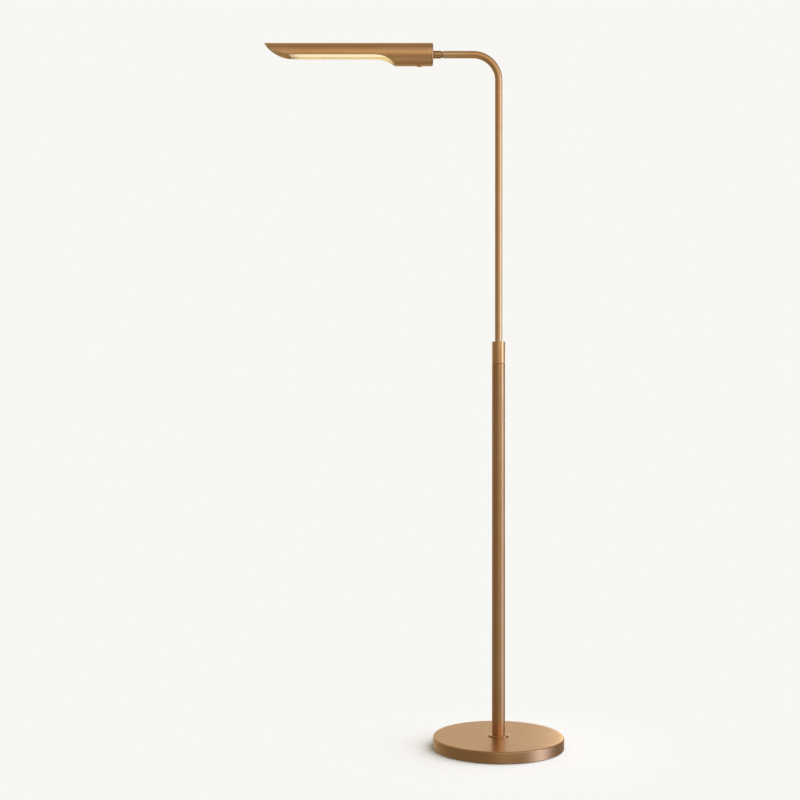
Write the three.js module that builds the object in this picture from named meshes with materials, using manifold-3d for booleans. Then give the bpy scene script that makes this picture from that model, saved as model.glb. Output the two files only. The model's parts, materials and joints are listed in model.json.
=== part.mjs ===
// Adjustable arm floor lamp in satin brass: a weighted round base, a lower tube, a twist collar that clamps
// a sliding stem, the stem bent over into a short arm, and a half-open cylindrical head lit by an LED strip.
// Millimetres, +Z up. The origin is on the floor at the pole's axis, and the arm and the head point along -X.
// A "reach" is a distance from the pole's axis towards the head, and a "drop" is one below the arm's axis.
import * as THREE from 'three';
import { mergeVertices } from 'three/addons/utils/BufferGeometryUtils.js';
import Module from 'manifold-3d';

const wasm = await Module();
wasm.setup();

// ---- Clearances ----
const seat = 0.1;        // between upright pieces that rest on each other
const fixed = 0.15;      // radial, between pieces fastened to each other
const running = 0.25;    // radial, around a piece that turns or slides
const standOff = 0.3;    // between pieces along the arm, and around pieces cut to fit
const reveal = 0.5;      // the open line between two visible turning pieces
const through = 1;       // how far a cutting tool runs past the face that it cuts

// ---- Facets ----
const baseSides = 40;
const tubeSides = 24;
const headSides = 36;
const smallSides = 16;
const screwSides = 8;
const leadSides = 8;
const bendSteps = 8;
const filletSteps = 4;

// ---- Base ----
const baseRadius = 127;
const baseHeight = 22.5;
const baseEdgeRadius = 2.8;
const coverWall = 1.2;
const rimLift = 1;
const padThickness = 2;
const padInset = 5;
const bottomPlateThickness = 1.5;
const pocketRadius = 17;
const pocketDepth = 10;
const channelSlack = 1.2;    // around the gland's catch, in the weight's cord channel
const plateScrewCount = 3;
const plateScrewInset = 33;
const plateScrewRadius = 2;
const plateScrewHeadRadius = 4;
const plateScrewLength = 11;
const glandBore = 3.3;
const glandBarrelRadius = 4.8;
const glandFlangeRadius = 6.6;
const glandFlangeThickness = 1.4;
const glandCatchRadius = 5.5;
const flangeRadius = 20.6;
const flangeHeight = 2.6;
const flangeChamfer = 0.8;
const nippleRadius = 5;
const nippleBore = 3.5;
const nippleLength = 42;
const nippleWasherRadius = 13;
const nippleWasherThickness = 1.5;
const nippleNutRadius = 9.8;
const nippleNutHeight = 5;

// ---- Pole, collar and stem ----
const poleRadius = 12.7;
const poleWall = 1.4;
const poleTop = 745;
const footPlugLength = 30;
const insertDepth = 25;
const insertNeckWall = 2.8;
const insertNeckLength = 14;
const colletLength = 18;
const colletFootWall = 2.5;
const colletTipWall = 1.6;
const colletSlit = 1.5;
const collarLength = 43;
const collarChamfer = 0.9;
const collarLip = 4;
const stemRadius = 7.1;
const stemWall = 1.2;
const stemInsertion = 205;   // stem below the lower tube's top, at rest
const guideLength = 30;
const guideLift = 5;         // from the stem's foot to the guide's
const clipThickness = 1;
const clipWidth = 2;
const clipGrooveDepth = 0.5;
const clipOpening = 4;
const swivelPinRadius = 1.25;
const swivelPinLift = 3;
const swivelLugWidth = 3;
const swivelLugHeight = 5;

// ---- Arm ----
const armAxisHeight = 1344;
const bendRadius = 50;
const armEndReach = 107.5;
const tipPlugDepth = 15;
const tipShoulderStep = 0.8;  // the groove's depth behind the arm's end
const tipShoulderLength = 2.8;
const spigotRadius = 4.5;
const leadRadius = 2.3;
const leadRoom = 0.7;        // around the lead in the spigot
const fibreWasherThickness = 0.8;
const ferruleStep = 0.5;     // how far the ferrule stands out from the arm
const ferruleLength = 15.4;
const ferruleChamfer = 0.9;
const stopWasherThickness = 1.2;
const stopWasherWidth = 3;
const stopTabWidth = 4;
const rollPinRadius = 1.2;
const rollPinGap = 1;        // between the nut's corners and the pins' path
const stopTabOverlap = 0.5;  // of the tab beyond the pins' path
const rollLimit = 90;        // degrees each way
const spigotNutWidth = 3;    // from the spigot to the nut's corners
const spigotNutLength = 5;

// ---- Coiled lead in the lower tube ----
const coilRadius = 7;
const coilWireRadius = 1.6;
const coilTurns = 16;
const coilStepsPerTurn = 6;
const coilEndGap = 6;

// ---- Head ----
const headRadius = 22.225;
const shadeWall = 1.3;
const tipReach = 454.9;
const capCrown = 3.2;
const capEdgeRadius = 2.4;
const capRegister = 4;
const cutDrop = 4.3;          // the straight edge of the cut-out, below the arm's axis
const frontSweepRadius = 77.4;
const rearSweepRadius = 50.4;
const rearSweepReach = 199.9; // where the rear sweep meets the underside
const bulkheadReach = 196;
const bulkheadThickness = 1.5;
const moduleEndReach = 405;
const moduleBottom = 0.5;     // above the arm's axis
const moduleWall = 1.3;
const lipWidth = 2;
const lipThickness = 1;
const diffuserThickness = 1;  // of the ledges that rest on the lips
const diffuserFace = 1.2;     // thickness of the wide face below the channel
const diffuserOverhang = 1.4; // of the face, past the channel's side
const lampSpace = 3.5;        // from the diffuser up to the board
const boardThickness = 1.6;
const sinkPlateThickness = 2.5;
const finThickness = 1.6;
const outerFinInset = 3.8;    // from the channel's side to the outermost fin's middle
const innerFinPitch = 5;
const portRadius = 2.3;
const portLift = 0.75;        // of the port's radius, from the plate to its middle
const portScrewRadius = 1.05;
const portScrewHeadRadius = 2.2;
const portScrewHeadHeight = 1.3;
const portScrewLength = 9;
const endPlateThickness = 2;

// ---- Driver and switch, in the closed end of the head ----
const trayThickness = 1;
const trayReach = 146;
const tabHalfWidth = 8;
const tabHeight = 8;
const driverLength = 44;
const driverHeight = 17;
const driverEdge = 1.5;
const buttonReach = 153.3;
const buttonRadius = 5.5;
const buttonProud = 1.5;
const buttonDome = 1.2;
const buttonTravel = 1;
const buttonShoulderRadius = 6.9;
const buttonShoulderHeight = 1;
const buttonStemRadius = 1.5;
const guideBushWall = 0.6;
const guideFlangeRadius = 8;
const guideFlangeThickness = 1.8;
const springSpace = 4.3;
const switchSize = 12;
const switchHeight = 4.6;
const springRadius = 3.5;
const springWireRadius = 0.35;
const springTurns = 3.5;
const springStepsPerTurn = 10;

// ---- Finishes ----
const finish = (color, roughness, metalness) =>
  new THREE.MeshStandardMaterial({ color, roughness, metalness });
const satinBrass = finish('#b58a5a', 0.36, 0.95);
const polishedBrass = finish('#c9a06a', 0.22, 0.95);
const castIron = finish('#3b3d40', 0.8, 0.6);
const zincSteel = finish('#a9adb0', 0.4, 0.9);
const darkFelt = finish('#2c2a28', 0.95, 0);
const blackPlastic = finish('#1c1c1e', 0.55, 0);
const whiteNylon = finish('#e6e3da', 0.5, 0);
const bareAluminium = finish('#b9bcc0', 0.45, 0.9);
const whiteBoard = finish('#f2f2ee', 0.45, 0);
const opalAcrylic = finish('#fff1d6', 0.4, 0);
const leadSheath = finish('#3a3029', 0.6, 0);
const redFibre = finish('#3c2620', 0.85, 0);

// ---- Solids ----

// The geometry with its corners shared, and without the triangles that a pole shrinks to a line.
function welded(geometry) {
  const bare = geometry.clone();
  bare.deleteAttribute('normal');
  bare.deleteAttribute('uv');
  const merged = mergeVertices(bare);
  const corners = merged.index.array;
  const kept = [];
  for (let i = 0; i < corners.length; i += 3) {
    const [a, b, c] = corners.slice(i, i + 3);
    if (a !== b && b !== c && c !== a) kept.push(a, b, c);
  }
  merged.setIndex(kept);
  return merged;
}

function solid(geometry) {
  const { index, attributes } = welded(geometry);
  const vertProperties = new Float32Array(attributes.position.array);
  const triVerts = new Uint32Array(index.array);
  return new wasm.Manifold(new wasm.Mesh({ numProp: 3, vertProperties, triVerts }));
}

function surface(body) {
  const { vertProperties, triVerts } = body.getMesh();
  const geometry = new THREE.BufferGeometry();
  geometry.setAttribute('position', new THREE.BufferAttribute(vertProperties, 3));
  geometry.setIndex(new THREE.BufferAttribute(triVerts, 1));
  geometry.computeVertexNormals();
  return geometry;
}

const cut = (blank, ...tools) =>
  surface(tools.reduce((body, tool) => body.subtract(solid(tool)), solid(blank)));

const join = (first, ...others) =>
  surface(others.reduce((body, other) => body.add(solid(other)), solid(first)));

// A bore and a shaft that clear each other at any angle, though both have flat facets.
const flatShare = (sides) => Math.cos(Math.PI / sides);
const boreFor = (shaft, clearance, sides) => (shaft + clearance) / flatShare(sides);
const shaftFor = (bore, clearance, sides) => bore * flatShare(sides) - clearance;

// A closed outline of [radius, height] corners, turned about +Z.
function turned(outline, sides) {
  const corners = outline.map(([radius, height]) => new THREE.Vector2(radius, height));
  if (THREE.ShapeUtils.area(corners) < 0) corners.reverse();
  const onAxis = corners[0].x === 0 && corners.at(-1).x === 0;
  if (!onAxis) corners.push(corners[0].clone());
  return new THREE.LatheGeometry(corners, sides).rotateX(Math.PI / 2);
}

const ringOutline = (outer, inner, low, high) => [
  [inner, low], [outer, low], [outer, high], [inner, high],
];
const discOutline = (radius, low, high) => [[0, low], [radius, low], [radius, high], [0, high]];

// The same, turned about the arm's axis, with each height a reach.
const turnedOnArm = (outline, sides) => turned(outline, sides).rotateY(-Math.PI / 2);

// Points of a quarter round about (x, y), from one angle in degrees to another.
function quarterRound(x, y, radius, from, to) {
  const points = [];
  for (let step = 0; step <= filletSteps; step++) {
    const angle = THREE.MathUtils.degToRad(from + (to - from) * step / filletSteps);
    points.push([x + radius * Math.cos(angle), y + radius * Math.sin(angle)]);
  }
  return points;
}

// A box between two corners.
function block(low, high) {
  const size = high.map((value, axis) => value - low[axis]);
  const middle = high.map((value, axis) => (value + low[axis]) / 2);
  return new THREE.BoxGeometry(...size).translate(...middle);
}

// A cylinder between two heights on an upright axis through (x, y).
const upright = (radius, low, high, sides, x = 0, y = 0) =>
  turned(discOutline(radius, low, high), sides).translate(x, y, 0);

// A cylinder between two reaches on an axis parallel to the arm's.
const alongArm = (radius, from, to, sides, y = 0, z = 0) =>
  turnedOnArm(discOutline(radius, from, to), sides).translate(0, y, z);

const circlePoints = (radius, sides) =>
  Array.from({ length: sides }, (_, side) => {
    const angle = 2 * Math.PI * side / sides;
    return new THREE.Vector2(radius * Math.cos(angle), radius * Math.sin(angle));
  });

// A closed [y, z] outline drawn out along the arm between two reaches.
function drawnAlongArm(outline, from, to) {
  const shape = new THREE.Shape(outline.map(([y, z]) => new THREE.Vector2(y, z)));
  const geometry = new THREE.ExtrudeGeometry(shape, { depth: to - from, bevelEnabled: false });
  const turn = new THREE.Matrix4().makeBasis(
    new THREE.Vector3(0, 1, 0), new THREE.Vector3(0, 0, 1), new THREE.Vector3(1, 0, 0),
  );
  return geometry.applyMatrix4(turn).translate(-to, 0, 0);
}

// Up the stem, round the bend and along the arm: one step for each straight, bendSteps for the bend.
class StemPath extends THREE.Curve {
  constructor(footHeight, endReach) {
    super();
    this.foot = new THREE.Vector3(0, 0, footHeight);
    this.end = new THREE.Vector3(-endReach, 0, armAxisHeight);
  }

  bendAngle(t) {
    const step = t * (bendSteps + 2);
    return THREE.MathUtils.clamp((step - 1) / bendSteps, 0, 1) * Math.PI / 2;
  }

  getPoint(t) {
    const step = t * (bendSteps + 2);
    const angle = this.bendAngle(t);
    const onBend = new THREE.Vector3(
      bendRadius * (Math.cos(angle) - 1), 0, armAxisHeight - bendRadius + bendRadius * Math.sin(angle),
    );
    if (step < 1) return onBend.lerp(this.foot, 1 - step);
    return onBend.lerp(this.end, Math.max(0, step - bendSteps - 1));
  }

  getPointAt(t) {
    return this.getPoint(t);
  }

  getTangentAt(t) {
    const angle = this.bendAngle(t);
    return new THREE.Vector3(-Math.sin(angle), 0, Math.cos(angle));
  }
}

// An upright helix between two heights.
class Helix extends THREE.Curve {
  constructor(radius, low, high, turns) {
    super();
    Object.assign(this, { radius, low, high, turns });
  }

  getPoint(t) {
    const angle = 2 * Math.PI * this.turns * t;
    const height = THREE.MathUtils.lerp(this.low, this.high, t);
    return new THREE.Vector3(this.radius * Math.cos(angle), this.radius * Math.sin(angle), height);
  }

  getPointAt(t) {
    return this.getPoint(t);
  }
}

// A round section drawn along a path, hollow where it has a bore.
function swept(path, steps, radius, sides, bore = 0) {
  const shape = new THREE.Shape(circlePoints(radius, sides));
  if (bore) shape.holes.push(new THREE.Path(circlePoints(bore, sides)));
  return new THREE.ExtrudeGeometry(shape, { steps, extrudePath: path, bevelEnabled: false });
}

// ---- Places worked out from the sizes ----
const plateBottom = padThickness + seat;
const plateTop = plateBottom + bottomPlateThickness;
const weightBottom = plateTop + seat;
const coverCeiling = baseHeight - coverWall;
const weightTop = coverCeiling - seat;
const glandHeight = weightBottom + standOff + glandCatchRadius;
const coverInnerRadius = baseRadius - coverWall;
const weightRadius = shaftFor(coverInnerRadius, running, baseSides);
const plateScrewCircle = weightRadius - plateScrewInset;
const pocketRoof = weightBottom + pocketDepth;
const nippleHole = boreFor(nippleRadius, fixed, smallSides);
const poleFoot = baseHeight + seat;
const poleBore = poleRadius - poleWall;
const insertNeckTop = poleTop + insertNeckLength;
const colletFoot = insertNeckTop + reveal;
const colletTop = colletFoot + colletLength;
const collarFoot = poleTop + reveal;
const collarTop = poleTop + collarLength;
const stemBore = stemRadius - stemWall;
const stemFoot = poleTop - stemInsertion;
const stemRunningBore = boreFor(stemRadius, running, tubeSides);
const insertNeckRadius = stemRunningBore + insertNeckWall;
const colletFootRadius = stemRunningBore + colletFootWall;
const colletTipRadius = stemRunningBore + colletTipWall;
const guideFoot = stemFoot + guideLift;
const guideTop = guideFoot + guideLength;
const guideRadius = shaftFor(poleBore, running, tubeSides);
const clipRadius = stemRadius + clipWidth;
const clipGrooveRadius = stemRadius - clipGrooveDepth;
const tipShoulderRadius = stemRadius - tipShoulderStep;
const ferruleRadius = stemRadius + ferruleStep;
const tipShoulderReach = armEndReach + standOff;
const fibreWasherReach = tipShoulderReach + tipShoulderLength + seat;
const ferruleReach = fibreWasherReach + fibreWasherThickness + seat;
const capReach = ferruleReach + ferruleLength + standOff;
const registerReach = capReach + capCrown;
const registerEnd = registerReach + capRegister;
const shadeReach = registerReach + standOff;
const shadeBore = headRadius - shadeWall;
const stopWasherReach = registerEnd + running;
const spigotNutReach = stopWasherReach + stopWasherThickness + seat;
const spigotEnd = spigotNutReach + spigotNutLength + through;
const spigotBore = leadRadius + leadRoom;
const spigotRunningBore = boreFor(spigotRadius, running, smallSides);
const spigotFixedBore = boreFor(spigotRadius, fixed, smallSides);
const spigotNutRadius = spigotRadius + spigotNutWidth;
const stopWasherRadius = spigotRadius + stopWasherWidth;
const rollPinCircle = spigotNutRadius + rollPinGap + rollPinRadius;
const stopTabRadius = rollPinCircle + rollPinRadius + stopTabOverlap;
const shadeFitRadius = shaftFor(shadeBore, standOff, headSides);

// Half the room across the shade's bore at a height above or below the arm's axis.
const halfRoom = (height) => Math.sqrt((shadeFitRadius - standOff) ** 2 - height ** 2);

const sinkReach = bulkheadReach + bulkheadThickness + standOff;
const lipTop = moduleBottom + lipThickness;
const ledgeBottom = lipTop + standOff;
const faceTop = moduleBottom - standOff;
const faceBottom = faceTop - diffuserFace;
const boardBottom = ledgeBottom + diffuserThickness + lampSpace;
const sinkPlateBottom = boardBottom + boardThickness + standOff;
const sinkPlateTop = sinkPlateBottom + sinkPlateThickness;
const moduleHalfWidth = halfRoom(sinkPlateTop);
const outerFin = moduleHalfWidth - outerFinInset;
const finPlaces = [-outerFin, -innerFinPitch, 0, innerFinPitch, outerFin];
const portPlace = (innerFinPitch + outerFin) / 2;
const portHeight = sinkPlateTop + portRadius * portLift;
const endPlateReach = moduleEndReach + standOff;
const portHole = boreFor(portScrewRadius, fixed, screwSides);
const trayEnd = bulkheadReach - standOff;
const guideFlangeDrop = halfRoom(guideFlangeRadius) + standOff - seat;
const guideFlangeTop = guideFlangeThickness - guideFlangeDrop;
const buttonFoot = -headRadius - buttonProud;
const buttonShoulderFoot = guideFlangeTop + seat;
const buttonShoulderTop = buttonShoulderFoot + buttonShoulderHeight;
const switchBottom = buttonShoulderTop + springSpace;
const switchTop = switchBottom + switchHeight;
const trayBottom = switchTop + standOff;
const trayTop = trayBottom + trayThickness;
const trayHalfWidth = halfRoom(trayBottom);
const tabScrewHeight = trayBottom - tabHeight / 2;
const driverBottom = trayTop + standOff;
const driverHalfWidth = halfRoom(driverBottom + driverHeight);
const buttonStemTop = switchBottom - buttonTravel - standOff;
const buttonBore = boreFor(buttonRadius, running, smallSides);
const guideNoseRadius = buttonBore + guideBushWall;

// ---- Base pieces ----

const floorPad = () => upright(baseRadius - padInset, 0, padThickness, baseSides);

const screwPlaces = Array.from({ length: plateScrewCount }, (_, index) => {
  const angle = 2 * Math.PI * (index + 0.25) / plateScrewCount;
  return [plateScrewCircle * Math.cos(angle), plateScrewCircle * Math.sin(angle)];
});

function bottomPlate() {
  const plate = upright(weightRadius, plateBottom, plateTop, baseSides);
  const hole = boreFor(plateScrewRadius, fixed, screwSides);
  const countersink = boreFor(plateScrewHeadRadius, fixed, screwSides);
  const outline = [
    [0, plateBottom - through], [countersink, plateBottom - through], [countersink, plateBottom],
    [hole, plateTop], [hole, plateTop + through], [0, plateTop + through],
  ];
  return cut(plate, ...screwPlaces.map(([x, y]) => turned(outline, screwSides).translate(x, y, 0)));
}

// A countersunk screw, its head flush with the bottom plate's underside.
const plateScrew = ([x, y]) =>
  turned([
    [0, plateBottom], [plateScrewHeadRadius, plateBottom], [plateScrewRadius, plateTop],
    [plateScrewRadius, plateBottom + plateScrewLength], [0, plateBottom + plateScrewLength],
  ], screwSides).translate(x, y, 0);

function baseWeight() {
  const blank = turned([
    [pocketRadius, weightBottom], [weightRadius, weightBottom], [weightRadius, weightTop - baseEdgeRadius],
    [weightRadius - baseEdgeRadius, weightTop], [nippleHole, weightTop], [nippleHole, pocketRoof],
    [pocketRadius, pocketRoof],
  ], baseSides);
  const reach = glandCatchRadius + channelSlack;
  const channel = block([-reach, 0, weightBottom - through], [reach, baseRadius, glandHeight + reach]);
  const hole = boreFor(plateScrewRadius, fixed, screwSides);
  const holeTop = plateBottom + plateScrewLength + through;
  const holes = screwPlaces.map(([x, y]) =>
    upright(hole, weightBottom - through, holeTop, screwSides, x, y));
  return cut(blank, channel, ...holes);
}

// A turned piece whose axis points to the back, through the middle of the gland's hole.
const turnedToBack = (outline, sides) =>
  turned(outline, sides).rotateX(-Math.PI / 2).translate(0, 0, glandHeight);

function baseCover() {
  const edge = quarterRound(baseRadius - baseEdgeRadius, baseHeight - baseEdgeRadius, baseEdgeRadius, 0, 90);
  const shell = turned([
    [coverInnerRadius, rimLift], [baseRadius, rimLift], ...edge,
    [nippleHole, baseHeight], [nippleHole, coverCeiling], [coverInnerRadius, coverCeiling],
  ], baseSides);
  const hole = boreFor(glandBarrelRadius, fixed, smallSides);
  const tool = discOutline(hole, weightRadius - through, baseRadius + through);
  return cut(shell, turnedToBack(tool, smallSides));
}

// The inlet's bush: a flange outside the cover and a catch inside it.
function cordGland() {
  const flangeFoot = baseRadius + standOff;
  const catchEnd = weightRadius * flatShare(baseSides) - through;
  return turnedToBack([
    [glandBore, catchEnd - glandFlangeThickness], [glandBarrelRadius, catchEnd - glandFlangeThickness],
    [glandCatchRadius, catchEnd], [glandBarrelRadius, catchEnd], [glandBarrelRadius, flangeFoot],
    [glandFlangeRadius, flangeFoot], [glandFlangeRadius, flangeFoot + glandFlangeThickness],
    [glandBore, flangeFoot + glandFlangeThickness],
  ], smallSides);
}

function baseFlange() {
  const bore = boreFor(poleRadius, fixed, tubeSides);
  const top = poleFoot + flangeHeight;
  return turned([
    [bore, poleFoot], [flangeRadius, poleFoot], [flangeRadius, top - flangeChamfer],
    [flangeRadius - flangeChamfer, top], [bore, top],
  ], tubeSides);
}

const nippleFoot = pocketRoof - nippleWasherThickness - nippleNutHeight - seat * 2 - through;
const threadedNipple = () =>
  turned(ringOutline(nippleRadius, nippleBore, nippleFoot, nippleFoot + nippleLength), smallSides);

const washerFoot = pocketRoof - seat - nippleWasherThickness;
const washerTop = washerFoot + nippleWasherThickness;
const nippleWasher = () =>
  turned(ringOutline(nippleWasherRadius, nippleHole, washerFoot, washerTop), smallSides);

function nippleNut() {
  const top = washerFoot - seat;
  const hexagon = upright(nippleNutRadius, top - nippleNutHeight, top, 6);
  return cut(hexagon, upright(nippleHole, top - nippleNutHeight - through, top + through, smallSides));
}

// ---- Pole and collar pieces ----

const poleFootPlug = () =>
  turned(ringOutline(
    shaftFor(poleBore, fixed, tubeSides), nippleHole, poleFoot, poleFoot + footPlugLength,
  ), tubeSides);

const lowerTube = () => turned(ringOutline(poleRadius, poleBore, poleFoot, poleTop), tubeSides);

function tubeTopInsert() {
  const barrel = shaftFor(poleBore, fixed, tubeSides);
  return turned([
    [stemRunningBore, poleTop - insertDepth], [barrel, poleTop - insertDepth], [barrel, poleTop],
    [insertNeckRadius, poleTop], [insertNeckRadius, insertNeckTop], [stemRunningBore, insertNeckTop],
  ], tubeSides);
}

function collet() {
  const blank = turned([
    [stemRunningBore, colletFoot], [colletFootRadius, colletFoot], [colletTipRadius, colletTop],
    [stemRunningBore, colletTop],
  ], tubeSides);
  const slit = block(
    [0, -colletSlit / 2, colletFoot - through],
    [colletFootRadius + through, colletSlit / 2, colletTop + through],
  );
  return cut(blank, slit);
}

function lockCollar() {
  const neckBore = boreFor(insertNeckRadius, running, tubeSides);
  const tipBore = boreFor(colletTipRadius, running, tubeSides);
  return turned([
    [neckBore, collarFoot],
    [poleRadius - collarChamfer, collarFoot], [poleRadius, collarFoot + collarChamfer],
    [poleRadius, collarTop - collarChamfer], [poleRadius - collarChamfer, collarTop],
    [stemRunningBore, collarTop], [stemRunningBore, collarTop - collarLip], [tipBore, collarTop - collarLip],
    [tipBore, colletTop], [neckBore, colletFoot],
  ], tubeSides);
}

// ---- Stem pieces ----

// The nylon sleeve that the stem's foot turns in, with a lug that stops the swivel pin.
function stemGuide() {
  const sleeve = turned(ringOutline(guideRadius, stemRunningBore, guideFoot, guideTop), tubeSides);
  const lugOuter = guideRadius - running;
  const lug = block(
    [clipRadius + standOff, -swivelLugWidth / 2, guideTop - through],
    [lugOuter, swivelLugWidth / 2, guideTop + swivelLugHeight],
  );
  return join(sleeve, lug);
}

const clipHeights = [guideFoot - running - clipThickness, guideTop + running];

// An open retaining ring in the stem's groove.
function retainingClip(height) {
  const bore = boreFor(clipGrooveRadius, seat, tubeSides);
  const blank = turned(ringOutline(clipRadius, bore, height, height + clipThickness), tubeSides);
  const opening = block(
    [0, -clipOpening / 2, height - through],
    [clipRadius + through, clipOpening / 2, height + clipThickness + through],
  );
  return cut(blank, opening);
}

const swivelPinHeight = guideTop + swivelPinLift;

// A cylinder along X through the stem's wall, on the side of the head.
const crossPin = (radius, from, to) =>
  alongArm(radius, from, to, screwSides).translate(0, 0, swivelPinHeight);

function stemArm() {
  const tube = swept(new StemPath(stemFoot, armEndReach), bendSteps + 2, stemRadius, tubeSides, stemBore);
  const grooves = clipHeights.map((height) =>
    turned(ringOutline(
      stemRadius + through, clipGrooveRadius, height - seat, height + clipThickness + seat,
    ), tubeSides));
  const pinHole = crossPin(swivelPinRadius + fixed, leadRadius, stemRadius + through);
  return cut(tube, ...grooves, pinHole);
}

const swivelStopPin = () => crossPin(swivelPinRadius, stemBore - through, guideRadius - running * 2);

const armLead = () =>
  swept(new StemPath(stemFoot - through, spigotEnd + through), bendSteps + 2, leadRadius, leadSides);

const coiledLead = () => {
  const path = new Helix(
    coilRadius, poleFoot + footPlugLength + coilEndGap, stemFoot - coilEndGap, coilTurns,
  );
  return swept(path, coilTurns * coilStepsPerTurn, coilWireRadius, 5);
};

// ---- Pieces on the arm's end ----

function armTipPlug() {
  const plugRadius = shaftFor(stemBore, fixed, smallSides);
  const plugFoot = armEndReach - tipPlugDepth;
  const shoulderEnd = tipShoulderReach + tipShoulderLength;
  return turnedOnArm([
    [spigotBore, plugFoot], [plugRadius, plugFoot],
    [plugRadius, tipShoulderReach], [tipShoulderRadius, tipShoulderReach],
    [tipShoulderRadius, shoulderEnd], [spigotRadius, shoulderEnd],
    [spigotRadius, spigotEnd], [spigotBore, spigotEnd],
  ], smallSides);
}

const fibreWasher = () =>
  turnedOnArm(ringOutline(
    tipShoulderRadius, spigotFixedBore, fibreWasherReach, fibreWasherReach + fibreWasherThickness,
  ), smallSides);

const stopWasher = () => {
  const disc = turnedOnArm(ringOutline(
    stopWasherRadius, spigotFixedBore, stopWasherReach, stopWasherReach + stopWasherThickness,
  ), smallSides);
  const tab = block(
    [-stopWasherReach - stopWasherThickness, -stopTabWidth / 2, stopWasherRadius - through],
    [-stopWasherReach, stopTabWidth / 2, stopTabRadius],
  );
  return join(disc, tab);
};

function spigotNut() {
  const end = spigotNutReach + spigotNutLength;
  const hexagon = alongArm(spigotNutRadius, spigotNutReach, end, 6);
  return cut(hexagon, alongArm(spigotFixedBore, spigotNutReach - through, end + through, smallSides));
}

// ---- Head pieces ----

const neckFerrule = () =>
  turnedOnArm([
    [spigotRunningBore, ferruleReach], [ferruleRadius - ferruleChamfer, ferruleReach],
    [ferruleRadius, ferruleReach + ferruleChamfer], [ferruleRadius, ferruleReach + ferruleLength],
    [spigotRunningBore, ferruleReach + ferruleLength],
  ], smallSides);

// The roll pins stand where the stop washer's tab meets them at the head's two limits.
const rollPinSpread = Math.asin((stopTabWidth / 2 + rollPinRadius + standOff) / rollPinCircle);
const rollPinPlaces = [-1, 1].map((side) => {
  const angle = side * (THREE.MathUtils.degToRad(rollLimit) + rollPinSpread);
  return [rollPinCircle * Math.sin(angle), rollPinCircle * Math.cos(angle)];
});
const rollPinStart = registerReach - through;
const rollPin = ([y, z]) => alongArm(rollPinRadius, rollPinStart, spigotNutReach + through, screwSides, y, z);

function rearCap() {
  const crown = quarterRound(headRadius - capEdgeRadius, capReach + capEdgeRadius, capEdgeRadius, -90, 0);
  const blank = turnedOnArm([
    [spigotRunningBore, capReach], ...crown, [headRadius, registerReach], [shadeFitRadius, registerReach],
    [shadeFitRadius, registerEnd], [spigotRunningBore, registerEnd],
  ], headSides);
  const hole = boreFor(rollPinRadius, fixed, screwSides);
  const holes = rollPinPlaces.map(([y, z]) =>
    alongArm(hole, rollPinStart - seat, registerEnd + through, screwSides, y, z));
  return cut(blank, ...holes);
}

// What the cut-out takes away below the shade's edge: a sweep up to the tip, a straight and a sweep down.
function cutOut() {
  const edge = -cutDrop;
  const beyond = headRadius + through;
  const frontRise = headRadius + cutDrop - frontSweepRadius;
  const frontX = Math.sqrt(frontSweepRadius ** 2 - frontRise ** 2) - tipReach;
  const rearFall = rearSweepRadius - headRadius + cutDrop;
  const rearX = -rearSweepReach - Math.sqrt(rearSweepRadius ** 2 - rearFall ** 2);
  const tipAngle = Math.PI - Math.asin((frontRise + through) / frontSweepRadius);
  const rearAngle = Math.asin((rearFall - through) / rearSweepRadius);
  const outline = new THREE.Shape()
    .moveTo(-tipReach - beyond, -beyond)
    .lineTo(-tipReach - beyond, beyond)
    .absarc(frontX, edge + frontSweepRadius, frontSweepRadius, tipAngle, Math.PI * 1.5, false)
    .absarc(rearX, edge - rearSweepRadius, rearSweepRadius, Math.PI / 2, rearAngle, true);
  const settings = { depth: beyond * 2, curveSegments: filletSteps * 2, bevelEnabled: false };
  return new THREE.ExtrudeGeometry(outline, settings).rotateX(Math.PI / 2).translate(0, beyond, 0);
}

function shadeTube() {
  const blank = turnedOnArm(ringOutline(headRadius, shadeBore, shadeReach, tipReach + through), headSides);
  const hole = boreFor(guideNoseRadius, fixed, smallSides);
  return cut(blank, cutOut(), upright(hole, -headRadius - through, -cutDrop, smallSides, -buttonReach));
}

const portPlaces = [-portPlace, portPlace].map((y) => [y, portHeight]);

function bulkhead() {
  const end = bulkheadReach + bulkheadThickness;
  const places = [...portPlaces, [0, tabScrewHeight]];
  const holes = places.map(([y, z]) =>
    alongArm(portHole, bulkheadReach - through, end + through, screwSides, y, z));
  const leadHole = alongArm(leadRadius + standOff, bulkheadReach - through, end + through, screwSides);
  return cut(alongArm(shadeFitRadius, bulkheadReach, end, headSides), ...holes, leadHole);
}

// A pan-head screw along the arm, its head at the given reach and its shank towards the tip or the pole.
function armScrew([y, z], headReach, direction) {
  const headEnd = headReach + direction * portScrewHeadHeight;
  const shankEnd = headEnd + direction * portScrewLength;
  return turnedOnArm([
    [0, headReach], [portScrewHeadRadius, headReach], [portScrewHeadRadius, headEnd],
    [portScrewRadius, headEnd], [portScrewRadius, shankEnd], [0, shankEnd],
  ], screwSides).translate(0, y, z);
}

const bulkheadScrew = (place) =>
  armScrew(place, bulkheadReach - standOff - portScrewHeadHeight, 1);
const endPlateScrew = (place) =>
  armScrew(place, endPlateReach + endPlateThickness + standOff + portScrewHeadHeight, -1);
const trayScrew = () =>
  armScrew([0, tabScrewHeight], sinkReach + portScrewHeadHeight, -1);

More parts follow.
